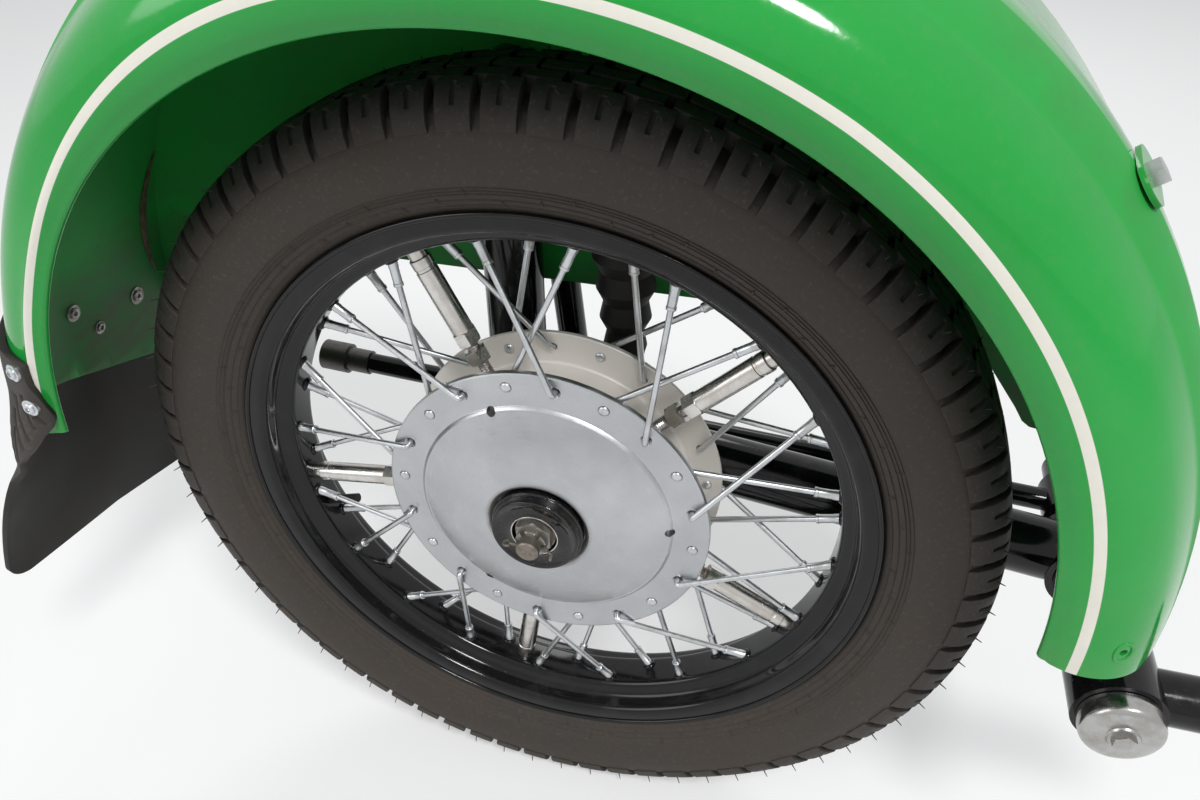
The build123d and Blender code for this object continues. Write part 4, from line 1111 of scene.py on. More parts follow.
def rounded(corners, size, count=4):
    """Round every inner corner of an open (radius, outboard) line."""
    line = [corners[0]]
    for before, corner, after in zip(corners, corners[1:], corners[2:]):
        arms = []
        for other in (before, after):
            across = (other[0] - corner[0], other[1] - corner[1])
            length = (across[0] ** 2 + across[1] ** 2) ** 0.5
            reach = min(size, length * MOST_OF_ARM) / length
            arms.append((corner[0] + across[0] * reach, corner[1] + across[1] * reach))
        for step in range(count + 1):
            t = step / count
            line.append(tuple(
                (1 - t) ** 2 * arms[0][k] + 2 * t * (1 - t) * corner[k] + t * t * arms[1][k]
                for k in (0, 1)
            ))
    return line + [corners[-1]]


RIM_LIP = 0.2550
LIP_SIDE = 0.0355
LIP_WIRE = 0.0022
SEAT_RADIUS = 0.2265
HUB_SIDE = (
    (RIM_LIP, 0.0357), (0.2440, 0.0353), (0.2400, 0.0322), (0.2385, 0.0200), (SEAT_RADIUS, 0.0155)
)
TYRE_SIDE = (
    (RIM_LIP, 0.0332), (0.2460, 0.0332), (0.2425, 0.0292), (0.2410, 0.0185), (0.2290, 0.0135)
)
hub_side = list(HUB_SIDE) + mirrored(HUB_SIDE, -1)[::-1]
tyre_side = list(TYRE_SIDE) + mirrored(TYRE_SIDE, -1)[::-1]
rim_section = rounded(hub_side, 0.0045) + rounded(tyre_side, 0.003)[::-1]
rim_pieces = [turned_piece("rim_band", rim_section, 144)]
for side in (1, -1):
    lip = round_wire((RIM_LIP, side * LIP_SIDE), LIP_WIRE, 14)
    rim_pieces.append(turned_piece(f"lip_{side}", lip, 144))
hand_over(join_up(rim_pieces, "rim_band"), "wheel", "black", "rim", "rim")

# %% [markdown]
# ## Where the spokes run
#
# Each flange has twenty holes. Ten spokes lean forwards and ten back, alternately from the outer
# and the inner face, so four sets of ten make up the wheel. A set is described by its side, the
# angle of its first hole, its lean and the face its wire lies on. Everything about a spoke follows
# from three points: its head, its elbow and its seat in the rim.

# %% Spoke places
NEAR_FIRST, FAR_FIRST = 120.4, 111.4
HOLES = 20
HOLE_STEP = 360.0 / HOLES
HOLE_CIRCLE = 0.1193
SPOKES_IN_SET = HOLES // 2
SPOKE_SETS = (
    ("spokes_near_outer", 1, NEAR_FIRST, HOLE_STEP, 1),
    ("spokes_near_inner", 1, NEAR_FIRST - HOLE_STEP, -HOLE_STEP, -1),
    ("spokes_far_outer", -1, FAR_FIRST, -HOLE_STEP, 1),
    ("spokes_far_inner", -1, FAR_FIRST - HOLE_STEP, HOLE_STEP, -1),
)
WIRE = 0.0024
FLANGE_MIDDLE = 0.0285
FLANGE_HALF = 0.0025
STANDS = {1: 0.0084, -1: 0.0053}
SEAT_SIDE = 0.0075


def spoke_points(side, angle, lean, face):
    head = on_circle(HOLE_CIRCLE, angle, side * (FLANGE_MIDDLE - face * FLANGE_HALF))
    elbow = on_circle(HOLE_CIRCLE, angle, side * (FLANGE_MIDDLE + face * STANDS[face]))
    seat = on_circle(SEAT_RADIUS, angle + lean, side * SEAT_SIDE)
    return head, elbow, seat


for name, *where in SPOKE_SETS:
    head, elbow, seat = spoke_points(*where)
    print(name, "run", round((seat - elbow).length, 4))

# %% [markdown]
# ## Spokes
#
# A spoke is drawn wire with a hammered head and one bend. A curve with a round bevel is the natural
# start: straight out through the flange, a short arc, and straight on to the nipple. It is then
# made a mesh, given a domed head, and copied ten times round the axle.

# %% Bend the wires
def wire_path(head, elbow, end, bend=0.0034, count=5):
    first = elbow + (head - elbow).normalized() * bend
    last = elbow + (end - elbow).normalized() * bend
    path = [head]
    for step in range(count + 1):
        t = step / count
        path.append(first * (1 - t) ** 2 + elbow * 2 * t * (1 - t) + last * t * t)
    return path + [end]


def wire_piece(name, path, radius, resolution=2):
    """A round wire along a line of points."""
    piece = draw(name, path)
    bpy.ops.object.mode_set(mode="OBJECT")
    bpy.ops.object.convert(target="CURVE")
    piece = bpy.context.active_object
    piece.data.bevel_depth = radius
    piece.data.bevel_resolution = resolution
    piece.data.use_fill_caps = True
    bpy.ops.object.convert(target="MESH")
    piece = bpy.context.active_object
    finish_mesh(piece, 50.0)
    return piece


HEAD = (
    (0.0001, 0.0017), (0.0022, 0.0016), (0.0037, 0.0010), (0.0042, 0.0002), (0.0039, -0.0006),
    (0.0024, -0.0012), (0.0001, -0.0012),
)
INTO_NIPPLE = 0.010
for name, *where in SPOKE_SETS:
    head, elbow, seat = spoke_points(*where)
    end = seat - (seat - elbow).normalized() * INTO_NIPPLE
    wire = wire_piece(f"wire_{name}", wire_path(head, elbow, end), WIRE)
    dome = upright(f"dome_{name}", HEAD, 14, 60.0)
    aimed(dome, head, head - elbow)
    spokes = join_up([wire, dome], f"wire_{name}")
    ring_of(spokes, SPOKES_IN_SET)
    hand_over(spokes, "wheel", "zinc", "zinc", name)

# %% [markdown]
# ## Nipples and dimples
#
# The nipple is a long threaded sleeve that pulls the spoke tight. It is turned, with a chamfer at
# its mouth, and squared for the key near the rim. It is spun upright once for each set and copied
# round. Its round head shows only from the tyre's side.

# %% Nipples
NIPPLE = (
    (0.0025, -0.0200), (0.0034, -0.0200), (0.0038, -0.0196), (0.0038, -0.0176), (0.0035, -0.0173),
    (0.0035, -0.0060), (0.0038, -0.0056), (0.0038, 0.0048), (0.0051, 0.0055), (0.0051, 0.0070),
    (0.0038, 0.0078), (0.0025, 0.0078),
)
DIMPLE = (
    (0.0040, -0.0019), (0.0047, -0.0019), (0.0054, -0.0014), (0.0064, 0.0002), (0.0064, 0.0016),
    (0.0040, 0.0016),
)
DIMPLE_LEAN = 0.4
nipples = {1: [], -1: []}
dimples = []
for name, side, first, lean, face in SPOKE_SETS:
    head, elbow, seat = spoke_points(side, first, lean, face)
    along = (seat - elbow).normalized()
    outwards = (seat - HUB - Vector((0, (seat - HUB).y, 0))).normalized()
    nipple = upright(f"nipple_{name}", NIPPLE, 12, 40.0)
    aimed(nipple, seat, along)
    dimple = upright(f"dimple_{name}", DIMPLE, 20, 70.0)
    aimed(dimple, seat, outwards * (1 - DIMPLE_LEAN) + along * DIMPLE_LEAN)
    for piece, row in ((nipple, nipples[side]), (dimple, dimples)):
        ring_of(piece, SPOKES_IN_SET)
        row.append(piece)
for side, row in ((1, "near"), (-1, "far")):
    sleeves = join_up(nipples[side], f"nipple_row_{row}")
    hand_over(sleeves, "wheel", "zinc", "zinc", f"nipples_{row}")
hand_over(join_up(dimples, "rim_dimples"), "wheel", "black", "rim")

# %% [markdown]
# ## Hub
#
# The hub is cast and then turned all over: barrel, two flanges, and a domed face with a step. The
# outline is spun finely, because polished metal shows facets. The holes are then cut one after
# another, and the near flange's spoke holes are countersunk by a cone.

# %% Turn the hub
dome_line = three_point_arc((0.1000, 0.0335), (0.0694, 0.0444), (0.0418, 0.0498), 14)
hub_outline = rounded(((0.1301, 0.0310), (0.1035, 0.0310), (0.1026, 0.0322), (0.1010, 0.0336)), 0.0012, 3)
hub_outline += dome_line
hub_outline += [
    (0.0411, 0.0497), (0.0400, 0.0490), (0.0384, 0.0474), (0.0376, 0.0462), (0.0370, 0.0420),
    (0.0235, 0.0420), (0.0235, -0.0240),
    (0.0310, -0.0240), (0.0310, 0.0340), (0.0980, 0.0250), (0.0980, -0.0310), (0.1301, -0.0310),
    (0.1311, -0.0305), (0.1315, -0.0296), (0.1315, -0.0268), (0.1307, -0.0260),
]
hub_outline += rounded(((0.1297, -0.0260), (0.1040, -0.0260), (0.1040, 0.0260), (0.1297, 0.0260)), 0.004, 5)
hub_outline += [(0.1307, 0.0260), (0.1315, 0.0268), (0.1315, 0.0296), (0.1311, 0.0305)]
hub_casting = turned_piece("hub_casting", hub_outline, 144, angle=25.0)


MOUTH_PROUD = 0.0002
SINK_FOOT = 0.98
SPOKE_HOLE, SPOKE_SINK = 0.0030, 0.0018


def drilled(piece, at, radius, depth, mouth=0.0):
    """Cut a crosswise hole, and where a mouth is given, sink it from the flange's outer face."""
    drill = rod(18, radius, depth)
    aimed(drill, at, OUTBOARD)
    cut_by(piece, drill, solver="MANIFOLD")
    if mouth:
        foot = radius * SINK_FOOT
        sink = cone(18, foot, foot + mouth, mouth)
        aimed(sink, at + OUTBOARD * (FLANGE_HALF - mouth / 2 + MOUTH_PROUD), OUTBOARD)
        cut_by(piece, sink, solver="MANIFOLD")


COVER_HOLES = (112.0, 2.5, -121.5)
for first, side in ((NEAR_FIRST, 1), (FAR_FIRST, -1)):
    for number in range(HOLES):
        at = on_circle(HOLE_CIRCLE, first + HOLE_STEP * number, side * FLANGE_MIDDLE)
        drilled(hub_casting, at, SPOKE_HOLE, 0.011, SPOKE_SINK if side > 0 else 0.0)
for angle in COVER_HOLES:
    drilled(hub_casting, on_circle(0.101, angle, 0.034), 0.0038, 0.030)
hub_casting.data.validate()
shade_edges(hub_casting, 25.0)
hand_over(hub_casting, "wheel", "hub", "hub", "hub_shell")

# %% [markdown]
# ## Struts
#
# Five adjustable struts brace the hub against the rim: a threaded rod out of the barrel, a lock nut,
# and a bright turned sleeve with its own hexagon. A thread can be a true helix, but at this size
# close rings read the same and stay light. One strut is spun upright, aimed at the rim, and copied
# five times.

# %% Threads and hexagons
def threaded(length, radius, pitch, depth):
    """Outline of a bar with a thread cut along it."""
    outline = [(0.0001, 0.0)]
    height = 0.0
    while height + pitch < length:
        outline += [(radius - depth, height), (radius, height + pitch * 0.5)]
        height += pitch
    return outline + [(radius - depth, height), (radius - depth, length), (0.0001, length)]


CORNER_SLOPE = 0.58


def nut(name, flats, height, hole, chamfer):
    """A hexagon with turned corners and a hole. Aimed at a place, its middle goes there."""
    body = rod(6, flats / 3 ** 0.5, height, height / 2)
    body.name = body.data.name = name
    reach = flats / 3 ** 0.5 + 0.001
    rise = reach - flats / 2 - chamfer
    face = reach - rise - 0.0004
    low = rise * CORNER_SLOPE
    corners = upright(
        f"{name}_corners",
        (
            (0.0001, -0.001), (face, 0.0), (reach, low), (reach, height - low), (face, height),
            (0.0001, height + 0.001),
        ),
        36,
    )
    cut_by(body, corners, "INTERSECT")
    if hole:
        cut_by(body, rod(24, hole, height * 3, height / 2))
    shade_edges(body, 30.0)
    return body


STRUTS = 5
STRUT_ANGLE = 116.2
ROD_FOOT, LOCK_NUT_MIDDLE, SLEEVE_FOOT = 0.099, 0.1332, 0.1445


def strut_piece(piece, radius, node, finish, slot):
    start = on_circle(radius, STRUT_ANGLE, 0.0)
    aimed(piece, start, start - HUB)
    ring_of(piece, STRUTS)
    hand_over(piece, "wheel", finish, slot, node)


strut_thread = upright("strut_thread", threaded(0.064, 0.005, 0.0020, 0.0010), 16, 20.0)
strut_piece(strut_thread, ROD_FOOT, "strut_rods", "bolt", "bare_steel")
lock_nuts = nut("lock_nuts", 0.0160, 0.0110, 0.0048, 0.0006)
strut_piece(lock_nuts, LOCK_NUT_MIDDLE, "strut_nuts", "sleeve", "zinc")
sleeve_turned = upright(
    "sleeve_turned",
    (
        (0.0050, 0.0105), (0.0078, 0.0105), (0.0084, 0.0112), (0.0084, 0.0640), (0.0079, 0.0645),
        (0.0079, 0.0665), (0.0084, 0.0670), (0.0084, 0.0738), (0.0078, 0.0745), (0.0070, 0.0745),
        (0.0070, 0.0818), (0.0050, 0.0818),
    ),
    28,
)
sleeve_hex = nut("sleeve_hex", 0.017, 0.011, 0.0048, 0.0006)
sleeve_set = join_up([sleeve_turned, sleeve_hex], "strut_sleeve_set")
strut_piece(sleeve_set, SLEEVE_FOOT, "strut_sleeves", "sleeve", "sleeve")

# %% [markdown]
# ## Axle end
#
# A black dust cover stands out of the hub's opening, with a rolled edge and a bright ring round its
# hole. The castle nut inside is dusty, the axle's end is brown with rust, and a cotter pin goes
# through the slots with its legs bent round.

# %% Seal, thread and nut
COVER_WAIST = ((0.0372, 0.0496), (0.0372, 0.0520), (0.0358, 0.0524), (0.0352, 0.0560))
COVER_ROLL = ((0.0352, 0.0560), (0.0346, 0.0596), (0.0322, 0.0592), (0.0305, 0.0578))
cover_outline = [(0.0200, 0.0421), (0.0362, 0.0421), (0.0366, 0.0470), (0.0372, 0.0496)]
cover_outline += rounded(COVER_WAIST, 0.0008, 3)[1:] + rounded(COVER_ROLL, 0.0016, 5)[1:]
cover_outline += [
    (0.0270, 0.0570), (0.0225, 0.0570), (0.0208, 0.0576), (0.0196, 0.0582), (0.0186, 0.0582),
    (0.0186, 0.0566), (0.0200, 0.0560),
]
seal_ring = turned_piece("seal_ring", cover_outline, 96, angle=40.0)
hand_over(seal_ring, "wheel", "gloss_cover", "black_rubber", "hub_seal")
hole_ring = turned_piece("hole_ring", round_wire((0.01865, 0.0583), 0.00055, 10), 72)
hand_over(hole_ring, "wheel", "sleeve", "bare_steel")
NUT_MIDDLE = 0.0555
THREAD_FOOT = 0.0556
castle = nut("castle", 0.027, 0.012, 0.0091, 0.0008)
crown_part = upright(
    "castle_crown",
    ((0.0091, 0.0118), (0.0125, 0.0118), (0.0125, 0.0180), (0.0118, 0.0188), (0.0091, 0.0188)),
    36,
)
for turn in (0, 60, 120):
    hands_free()
    bpy.ops.mesh.primitive_cube_add(size=1, location=(0, 0, 0.0165))
    slot_cutter = bpy.context.active_object
    slot_cutter.scale = (0.03, 0.0042, 0.006)
    slot_cutter.rotation_euler = (0, 0, radians(turn))
    cut_by(crown_part, slot_cutter)
castle = join_up([castle, crown_part], "castle_nut")
aimed(castle, place(0, NUT_MIDDLE, 0), OUTBOARD)
hand_over(castle, "chassis", "nut", "bare_steel", "axle_nut")
axle_tip = upright("axle_thread", threaded(0.0212, 0.00905, 0.0020, 0.0009), 32, 20.0)
aimed(axle_tip, place(0, THREAD_FOOT, 0), OUTBOARD)
hand_over(axle_tip, "chassis", "rusty", "bare_steel")

# %% Cotter pin
COTTER_OUT = 0.0709
COTTER_LEGS = (
    ((-0.0155, 0, 0), (0.0148, 0, 0), (0.0165, 0.004, 0.004), (0.0150, 0.006, 0.009)),
    ((-0.0155, 0, 0.0006), (0.0148, 0, -0.0004), (0.0170, -0.002, -0.005), (0.0160, -0.001, -0.011)),
)
legs = []
for number, run in enumerate(COTTER_LEGS):
    path = [place(ahead, COTTER_OUT + out, above) for ahead, out, above in run]
    legs.append(wire_piece(f"cotter_leg_{number}", path, 0.0012, 1))
hands_free()
bpy.ops.mesh.primitive_torus_add(
    major_radius=0.0028, minor_radius=0.0011, major_segments=14, minor_segments=8,
    location=place(-0.0176, COTTER_OUT, 0),
)
cotter_eye = bpy.context.active_object
set_in_place(cotter_eye)
cotter_set = join_up([cotter_eye] + legs, "cotter_set")
hand_over(cotter_set, "chassis", "rusty", "bare_steel", "cotter_pin")

# %% [markdown]
# ## Pivot cap
#
# The chassis tube's end is closed by a pressed, plated cap like a small saucer, held by one hexagon
# bolt whose head stands on its own round flange. Both are spun, and the bolt's hexagon is the same
# turned-corner nut as before, without a hole.

# %% Cap and bolt
PIVOT = place(0.428, 0, -0.051)
CAP_DOME = ((0.0275, 0.0768), (0.0275, 0.0868), (0.0200, 0.0900), (0.0112, 0.0897))
cap_outline = [(0.0062, 0.0722), (0.0262, 0.0722), (0.0270, 0.0727), (0.0270, 0.0762), CAP_DOME[0]]
cap_outline += rounded(CAP_DOME, 0.0050, 8)[1:]
cap_outline += [(0.0106, 0.0904), (0.0102, 0.0914), (0.0062, 0.0915)]
cap_dome = turned_piece("cap_dome", cap_outline, 96, PIVOT)
hand_over(cap_dome, "chassis", "cap", "cap", "pivot_cap")
CAP_BOLT_MIDDLE = 0.0923
cap_bolt_head = nut("cap_bolt", 0.014, 0.0062, 0.0, 0.0007)
cap_bolt_flange = upright(
    "cap_bolt_flange",
    ((0.0001, -0.0008), (0.0092, -0.0008), (0.0094, 0.0), (0.0076, 0.0012), (0.0001, 0.0012)),
    40,
)
cap_bolt = join_up([cap_bolt_head, cap_bolt_flange], "cap_bolt")
aimed(cap_bolt, PIVOT + OUTBOARD * CAP_BOLT_MIDDLE, OUTBOARD)
hand_over(cap_bolt, "chassis", "cap", "zinc", "pivot_bolt")

# %% [markdown]
# ## Mud flap
#
# The flap is a sheet of moulded rubber bolted round the guard's rear end. Above, it hugs the
# guard's section; below, it flares out and back, and its outer corner is rounded. It is drawn as a
# stack of section lines and bridged, which is how a sheet that changes shape is best lofted. The
# sheet then gets its thickness from Solidify, and thin wires cut the grooves by the bolts.

# %% Flap sections
FLAP_GAP = 0.0005
FLAP_SHEET = 0.0055
FLAP_CROWN = CROWN_RADIUS + FLAP_GAP
FLAP_FAR = -0.110
FLAP_SEAM = 0.3865
FLAP_BOTTOM = -0.125
FLAP_CORNER = 0.022
CORNER_TOP = FLAP_BOTTOM + FLAP_CORNER
FLAP_STEPS = 40
FLAP_LEVELS = (GUARD_RISE, -0.034, FLAP_BOTTOM)
FLAP_LINES = (
    ((FLAP_SEAM, 0.1262), (0.444, LIP_OUTBOARD), (0.482, LIP_OUTBOARD)),
    ((0.4215, 0.0865), (0.444, 0.068), (0.473, 0.064)),
    ((FLAP_CROWN, CROWN_STARTS), (0.437, CROWN_STARTS), (0.464, CROWN_STARTS)),
    ((FLAP_CROWN, FLAP_FAR), (0.431, FLAP_FAR), (0.434, FLAP_FAR)),
)


def flap_corner(number, up):
    """One corner of the flap's level section, on a parabola through its three given places."""
    total = [0.0, 0.0]
    for level, value in zip(FLAP_LEVELS, FLAP_LINES[number]):
        weight = 1.0
        for other in FLAP_LEVELS:
            if other != level:
                weight *= (up - other) / (level - other)
        total[0] += weight * value[0]
        total[1] += weight * value[1]
    return tuple(total)


def evenly(points, count):
    """Points at even spaces along a line of points."""
    lengths = [0.0]
    for before, after in zip(points, points[1:]):
        lengths.append(lengths[-1] + ((after[0] - before[0]) ** 2 + (after[1] - before[1]) ** 2) ** 0.5)
    spaced = []
    for step in range(count + 1):
        along = lengths[-1] * step / count
        number = max(k for k in range(len(points) - 1) if lengths[k] <= along + 1e-9)
        share = (along - lengths[number]) / (lengths[number + 1] - lengths[number])
        before, after = points[number], points[number + 1]
        spaced.append(tuple(b + (a - b) * share for b, a in zip(before, after)))
    return spaced


def flap_row(line, far):
    return evenly(line, 30) + evenly([line[-1], far], 8)[1:]


# %% Lines on the guard and below it
UPPER_DROPS = (
    16.6, 16.4, 15.5, 14.5, 13.5, 12.5, 11.5, 10.7, 10.0, 9.3, 8.5, 7.8, 7.1, 6.0, 4.5, 3.0, 1.5,
)
LOWER_LEVELS = (
    GUARD_RISE, 0.035, 0.024, 0.012, 0.0, -0.014, -0.028, -0.042, -0.056, -0.070, -0.084, -0.094,
)
CORNER_TURNS = (0, 10, 20, 30, 40, 50, 60, 70, 78, 84, 90)
EDGE_TURNS = 7.1
EDGE_LOW = (8.5, 9.3)
LIP_EDGE = 0.3436
SEAM_FADES = 0.018
hugging = [p for p in guard_side(FLAP_GAP, FLAP_STEPS) if p[1] >= CROWN_STARTS]
seam_line = evenly([pulled(p, 180) for p in hugging if p[0] >= FLAP_SEAM], FLAP_STEPS)


def edge_radius(drop):
    """Where the flap's outer edge lies on the guard's side, so many degrees above the seam."""
    if drop <= EDGE_TURNS:
        return FLAP_SEAM - 0.0054 * drop
    before, after = max(0.0, EDGE_LOW[0] - drop), max(0.0, drop - EDGE_LOW[1])
    return LIP_EDGE + 0.0015 * before + 0.0019 * after


def upper_row(drop):
    """A line of the flap that hugs the guard's section, so many degrees above the seam."""
    line = [pulled(p, 180 - drop) for p in hugging if p[0] >= edge_radius(drop)]
    spaced = flap_row(line, (FLAP_CROWN, FLAP_FAR))
    return [on_circle(r, 180 - drop, o, GUARD_CENTRE) for r, o in spaced]


def cut_at_corner(line, up):
    """Cut a level line where the flap's rounded lower corner runs."""
    into = CORNER_TOP - up
    reach = LIP_OUTBOARD - FLAP_CORNER + max(0.0, FLAP_CORNER ** 2 - into ** 2) ** 0.5
    kept = [p for p in line if p[1] <= reach]
    cut = len(line) - len(kept)
    if cut:
        outer, inner = line[cut - 1], line[cut]
        share = (outer[1] - reach) / (outer[1] - inner[1])
        kept.insert(0, (outer[0] + (inner[0] - outer[0]) * share, reach))
    return kept


def lower_row(up):
    """A level line of the flap below the seam, which starts out as the guard's own section."""
    near, haunch, crown, far = [flap_corner(number, up) for number in range(4)]
    line = evenly(three_point_arc(near, haunch, crown, FLAP_STEPS), FLAP_STEPS)
    fade = max(0.0, (up - SEAM_FADES) / (GUARD_RISE - SEAM_FADES))
    line = [tuple(a + (b - a) * fade for a, b in zip(p, q)) for p, q in zip(line, seam_line)]
    if up < CORNER_TOP:
        line = cut_at_corner(line, up)
    return [place(-r, o, up) for r, o in flap_row(line, far)]


rows = [upper_row(drop) for drop in UPPER_DROPS]
rows += [lower_row(up) for up in LOWER_LEVELS]
rows += [lower_row(CORNER_TOP - FLAP_CORNER * sin(radians(turn))) for turn in CORNER_TURNS]
print("flap of", len(rows), "lines")

# %% Loft the flap and cut its grooves
def lofted(name, rows, thickness, rounding):
    """A sheet through a stack of lines, thickened away from the wheel."""
    lines = []
    for number, row in enumerate(rows):
        lines.append(draw(f"{name}_row_{number}", row))
        bpy.ops.object.mode_set(mode="OBJECT")
    skin = join_up(lines, name)
    bpy.ops.object.mode_set(mode="EDIT")
    bpy.ops.mesh.select_all(action="SELECT")
    bpy.ops.mesh.bridge_edge_loops()
    bpy.ops.mesh.select_all(action="SELECT")
    bpy.ops.mesh.normals_make_consistent(inside=False)
    bpy.ops.object.mode_set(mode="OBJECT")
    facing_front = sum(face.normal.x * face.area for face in skin.data.polygons)
    if facing_front > 0:
        bpy.ops.object.mode_set(mode="EDIT")
        bpy.ops.mesh.flip_normals()
        bpy.ops.object.mode_set(mode="OBJECT")
    thick = skin.modifiers.new("sheet", "SOLIDIFY")
    thick.thickness = thickness
    thick.offset = 1.0
    settle(skin, thick)
    soften(skin, rounding, 2)
    shade_edges(skin, 35.0)
    return skin


flap_skin = lofted("flap_skin", rows, FLAP_SHEET, 0.0011)
FLAP_GROOVES = (
    ((-0.3474, 0.1336, 0.1016), (-0.3452, 0.1322, 0.0968), (-0.3437, 0.1312, 0.0929)),
    (
        (-0.3535, 0.1319, 0.1189), (-0.3550, 0.1328, 0.1080), (-0.3551, 0.1332, 0.0964),
        (-0.3530, 0.1337, 0.0887),
    ),
    (
        (-0.3605, 0.1302, 0.1164), (-0.3655, 0.1301, 0.1021), (-0.3663, 0.1313, 0.0927),
        (-0.3650, 0.1330, 0.0831), (-0.3624, 0.1344, 0.0765),
    ),
    (
        (-0.3697, 0.1284, 0.1017), (-0.3735, 0.1289, 0.0912), (-0.3747, 0.1305, 0.0817),
        (-0.3748, 0.1323, 0.0717), (-0.3732, 0.1341, 0.0646),
    ),
    (
        (-0.3782, 0.1285, 0.0830), (-0.3823, 0.1296, 0.0707), (-0.3851, 0.1306, 0.0592),
        (-0.3864, 0.1314, 0.0499),
    ),
    ((-0.3890, 0.1275, 0.0680), (-0.3906, 0.1283, 0.0591), (-0.3935, 0.1285, 0.0480)),
)
GROOVE_RADIUS = 0.0015
cutters = []
for number, run in enumerate(FLAP_GROOVES):
    path = [place(*point) for point in run]
    cutters.append(wire_piece(f"groove_{number}", path, GROOVE_RADIUS, 1))
cut_by(flap_skin, join_up(cutters, "groove_cutter"), use_self=True)
hand_over(flap_skin, "chassis", "rubber", "black_rubber", "mud_flap")

# %% [markdown]
# ## Bolts of the flap
#
# Two bolts with broad round washers hold the flap's side, and three nuts show inside the guard. The
# head is a pan with a socket, spun once; the washer is part of the same outline.

# %% Flap bolts and the nuts inside
PAN_HEAD = (
    (0.0001, -0.0025), (0.0066, -0.0025), (0.0066, 0.0002), (0.0063, 0.0004), (0.0044, 0.0004),
    (0.0044, 0.0014), (0.0038, 0.0022), (0.0024, 0.0026), (0.0020, 0.0026), (0.0020, 0.0010),
    (0.0001, 0.0010),
)
FLAP_BOLTS = (
    (place(-0.3483, 0.1334, 0.1093), (-0.04, -1.0, 0.0)),
    (place(-0.3502, 0.1330, 0.1389), (-0.28, -0.95, 0.07)),
)
bolts = []
for number, (spot, faces) in enumerate(FLAP_BOLTS):
    bolt = upright(f"flap_bolt_{number}", PAN_HEAD, 28)
    aimed(bolt, spot, faces)
    bolts.append(bolt)
hand_over(join_up(bolts, "flap_bolts"), "chassis", "zinc", "zinc")
INNER_CROWN = 0.4279
INSIDE_NUTS = ((4.3, -0.0706, 0.010), (7.6, 0.0035, 0.009), (3.8, -0.0193, 0.007))
pieces = []
for number, (drop, outboard, flats) in enumerate(INSIDE_NUTS):
    spot = on_circle(INNER_CROWN, 180 - drop, outboard, GUARD_CENTRE)
    towards_wheel = on_circle(0, 0, outboard, GUARD_CENTRE) - spot
    wide = flats * 0.82
    washer = upright(
        f"inside_washer_{number}",
        ((0.0020, -0.0006), (wide, -0.0006), (wide, 0.0010), (0.0020, 0.0010)),
        28,
    )
    hexagon = nut(f"inside_hexagon_{number}", flats, 0.0052, 0.0022, 0.0005)
    for piece in (washer, hexagon):
        aimed(piece, spot, towards_wheel)
        pieces.append(piece)
hand_over(join_up(pieces, "inside_nuts"), "chassis", "nut", "bare_steel")

# %% [markdown]
# ## Strap and corners inside the guard
#
# A thin curved strap is welded against the inside of the crown. It is lofted like the flap, through
# short lines that lie on the crown. The inner wall's two lower corners are flat sheets: the rear
# one has an edge that sweeps down to the crown, the front one a rounded corner.

# %% Strap and wall corners
STRAP_MIDDLE = ((-0.1135, 0.2010), (-0.0962, 0.1455), (-0.1010, 0.0880))
STRAP_STEPS = 18
STRAP_RADIUS = 0.4262
STRAP_END_HALF = 0.0007
STRAP_SWELL = 0.0030
strap_rows = []
for step in range(STRAP_STEPS + 1):
    t = step / STRAP_STEPS
    weights = ((1 - t) * (1 - 2 * t), 4 * t * (1 - t), t * (2 * t - 1))
    middle, height = (sum(w * point[k] for w, point in zip(weights, STRAP_MIDDLE)) for k in (0, 1))
    half_width = STRAP_END_HALF + STRAP_SWELL * sin(pi * t) ** 0.8
    ahead = -(STRAP_RADIUS ** 2 - (height - GUARD_RISE) ** 2) ** 0.5
    strap_rows.append([place(ahead, middle + shift * half_width, height) for shift in (1, 0, -1)])
crown_strap = lofted("crown_strap", strap_rows, 0.0016, 0.0004)
hand_over(crown_strap, "chassis", "brown_strap", "bare_steel")

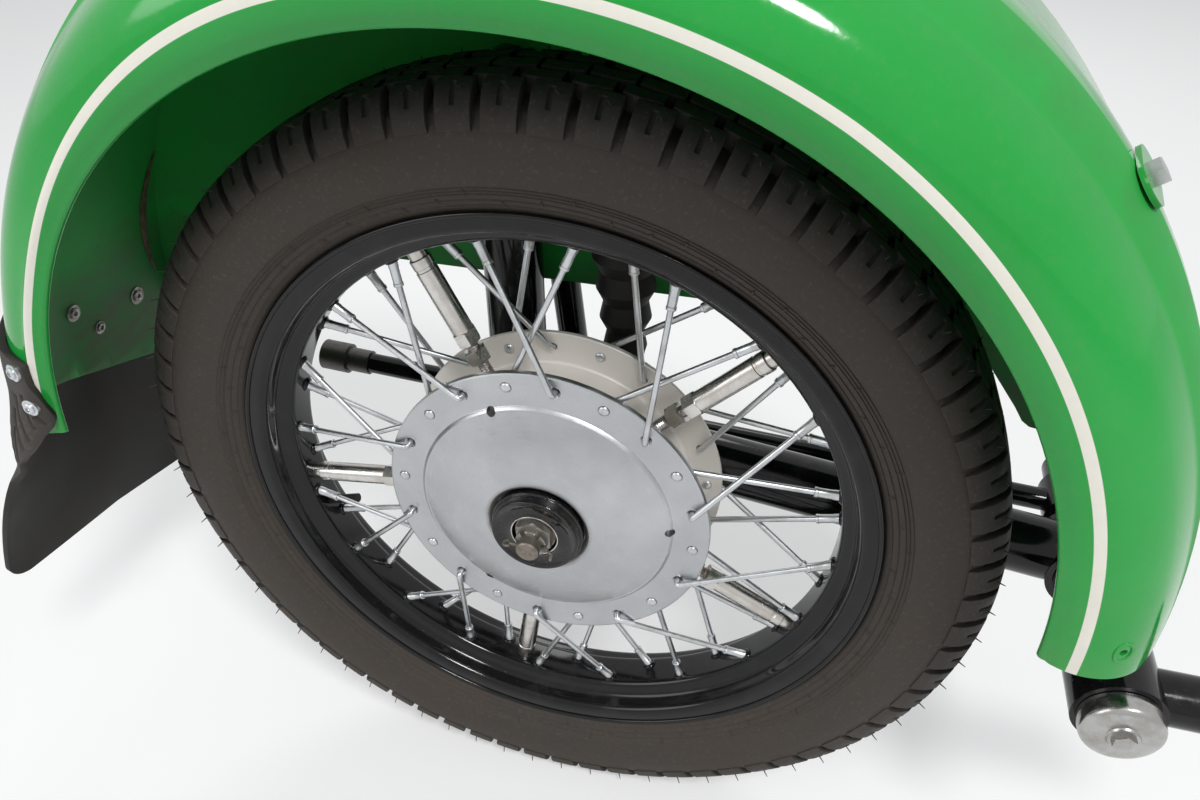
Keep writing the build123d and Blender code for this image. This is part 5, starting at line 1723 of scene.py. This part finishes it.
WALL_EDGE = 0.1250
WALL_OUTBOARD = -0.1161
WALL_LOWEST = 0.0460
WALL_SHEET = 0.0018
CROWN_INSIDE = 0.4290
CORNER_DROPS = (10.9, 8.5, 6.0, 3.0, 0.3)
SWEEP_STARTS = -0.4270
SWEEP_LENGTH = 0.1070
rear_sweep = []
for step in range(1, 9):
    share = step / 8
    above = WALL_LOWEST + (WALL_EDGE - WALL_LOWEST) * share
    rear_sweep.append((SWEEP_STARTS + SWEEP_LENGTH * share ** 1.25, above))
front_edge = ((0.372, 0.0462), (0.362, 0.0478), (0.3555, 0.0525), (0.347, 0.0650), (0.300, WALL_EDGE))
for name, angles, edge in (
    ("wall_corner_rear", [180 - drop for drop in CORNER_DROPS], rear_sweep),
    ("wall_corner_front", CORNER_DROPS, front_edge),
):
    line = [on_circle(CROWN_INSIDE, angle, WALL_OUTBOARD, GUARD_CENTRE) for angle in angles]
    line += [place(ahead, WALL_OUTBOARD, above) for ahead, above in edge]
    corner = draw(name, line)
    close_outline()
    bpy.ops.mesh.edge_face_add()
    bpy.ops.mesh.extrude_region_move(TRANSFORM_OT_translate={"value": -OUTBOARD * WALL_SHEET})
    finish_mesh(corner)
    hand_over(corner, "chassis", "green", "green_paint")

# %% [markdown]
# ## Which node wears which finish
#
# The solids whose shape is already right keep it, and only get their finish.

# %% Coat the construction nodes
worn_by = {
    "tyre": ("tyre",),
    "black": (
        "rim", "back_plate", "trailing_arm", "cross_tube", "pivot_housing", "side_tube",
        "chassis_rail", "shock_tower", "shock_lower", "shock_cover", "buffer_bracket",
    ),
    "hub": ("hub_shell",),
    "zinc": (
        "spokes_near_outer", "spokes_near_inner", "spokes_far_outer", "spokes_far_inner",
        "nipples_near", "nipples_far", "strut_nuts", "tab_bolt",
    ),
    "sleeve": ("strut_sleeves",),
    "rusty": (
        "strut_rods", "hub_bearings", "stub_axle", "axle_spacer", "axle_washer", "axle_nut",
        "cotter_pin", "axle_rear_nut",
    ),
    "dark": ("rail_end_sleeve",),
    "bolt": ("pivot_bolt", "shock_pins"),
    "green": ("mudguard", "mudguard_inner_wall", "body_tab"),
    "rubber": ("valve_stem", "hub_seal", "arm_bush", "bump_buffer", "mud_flap"),
    "cap": ("pivot_cap",),
}
for name, wearers in worn_by.items():
    for node in wearers:
        coat(nodes[node], name)
bare = sorted(set(nodes) - {node for wearers in worn_by.values() for node in wearers})
print("nodes with no finish:", bare)
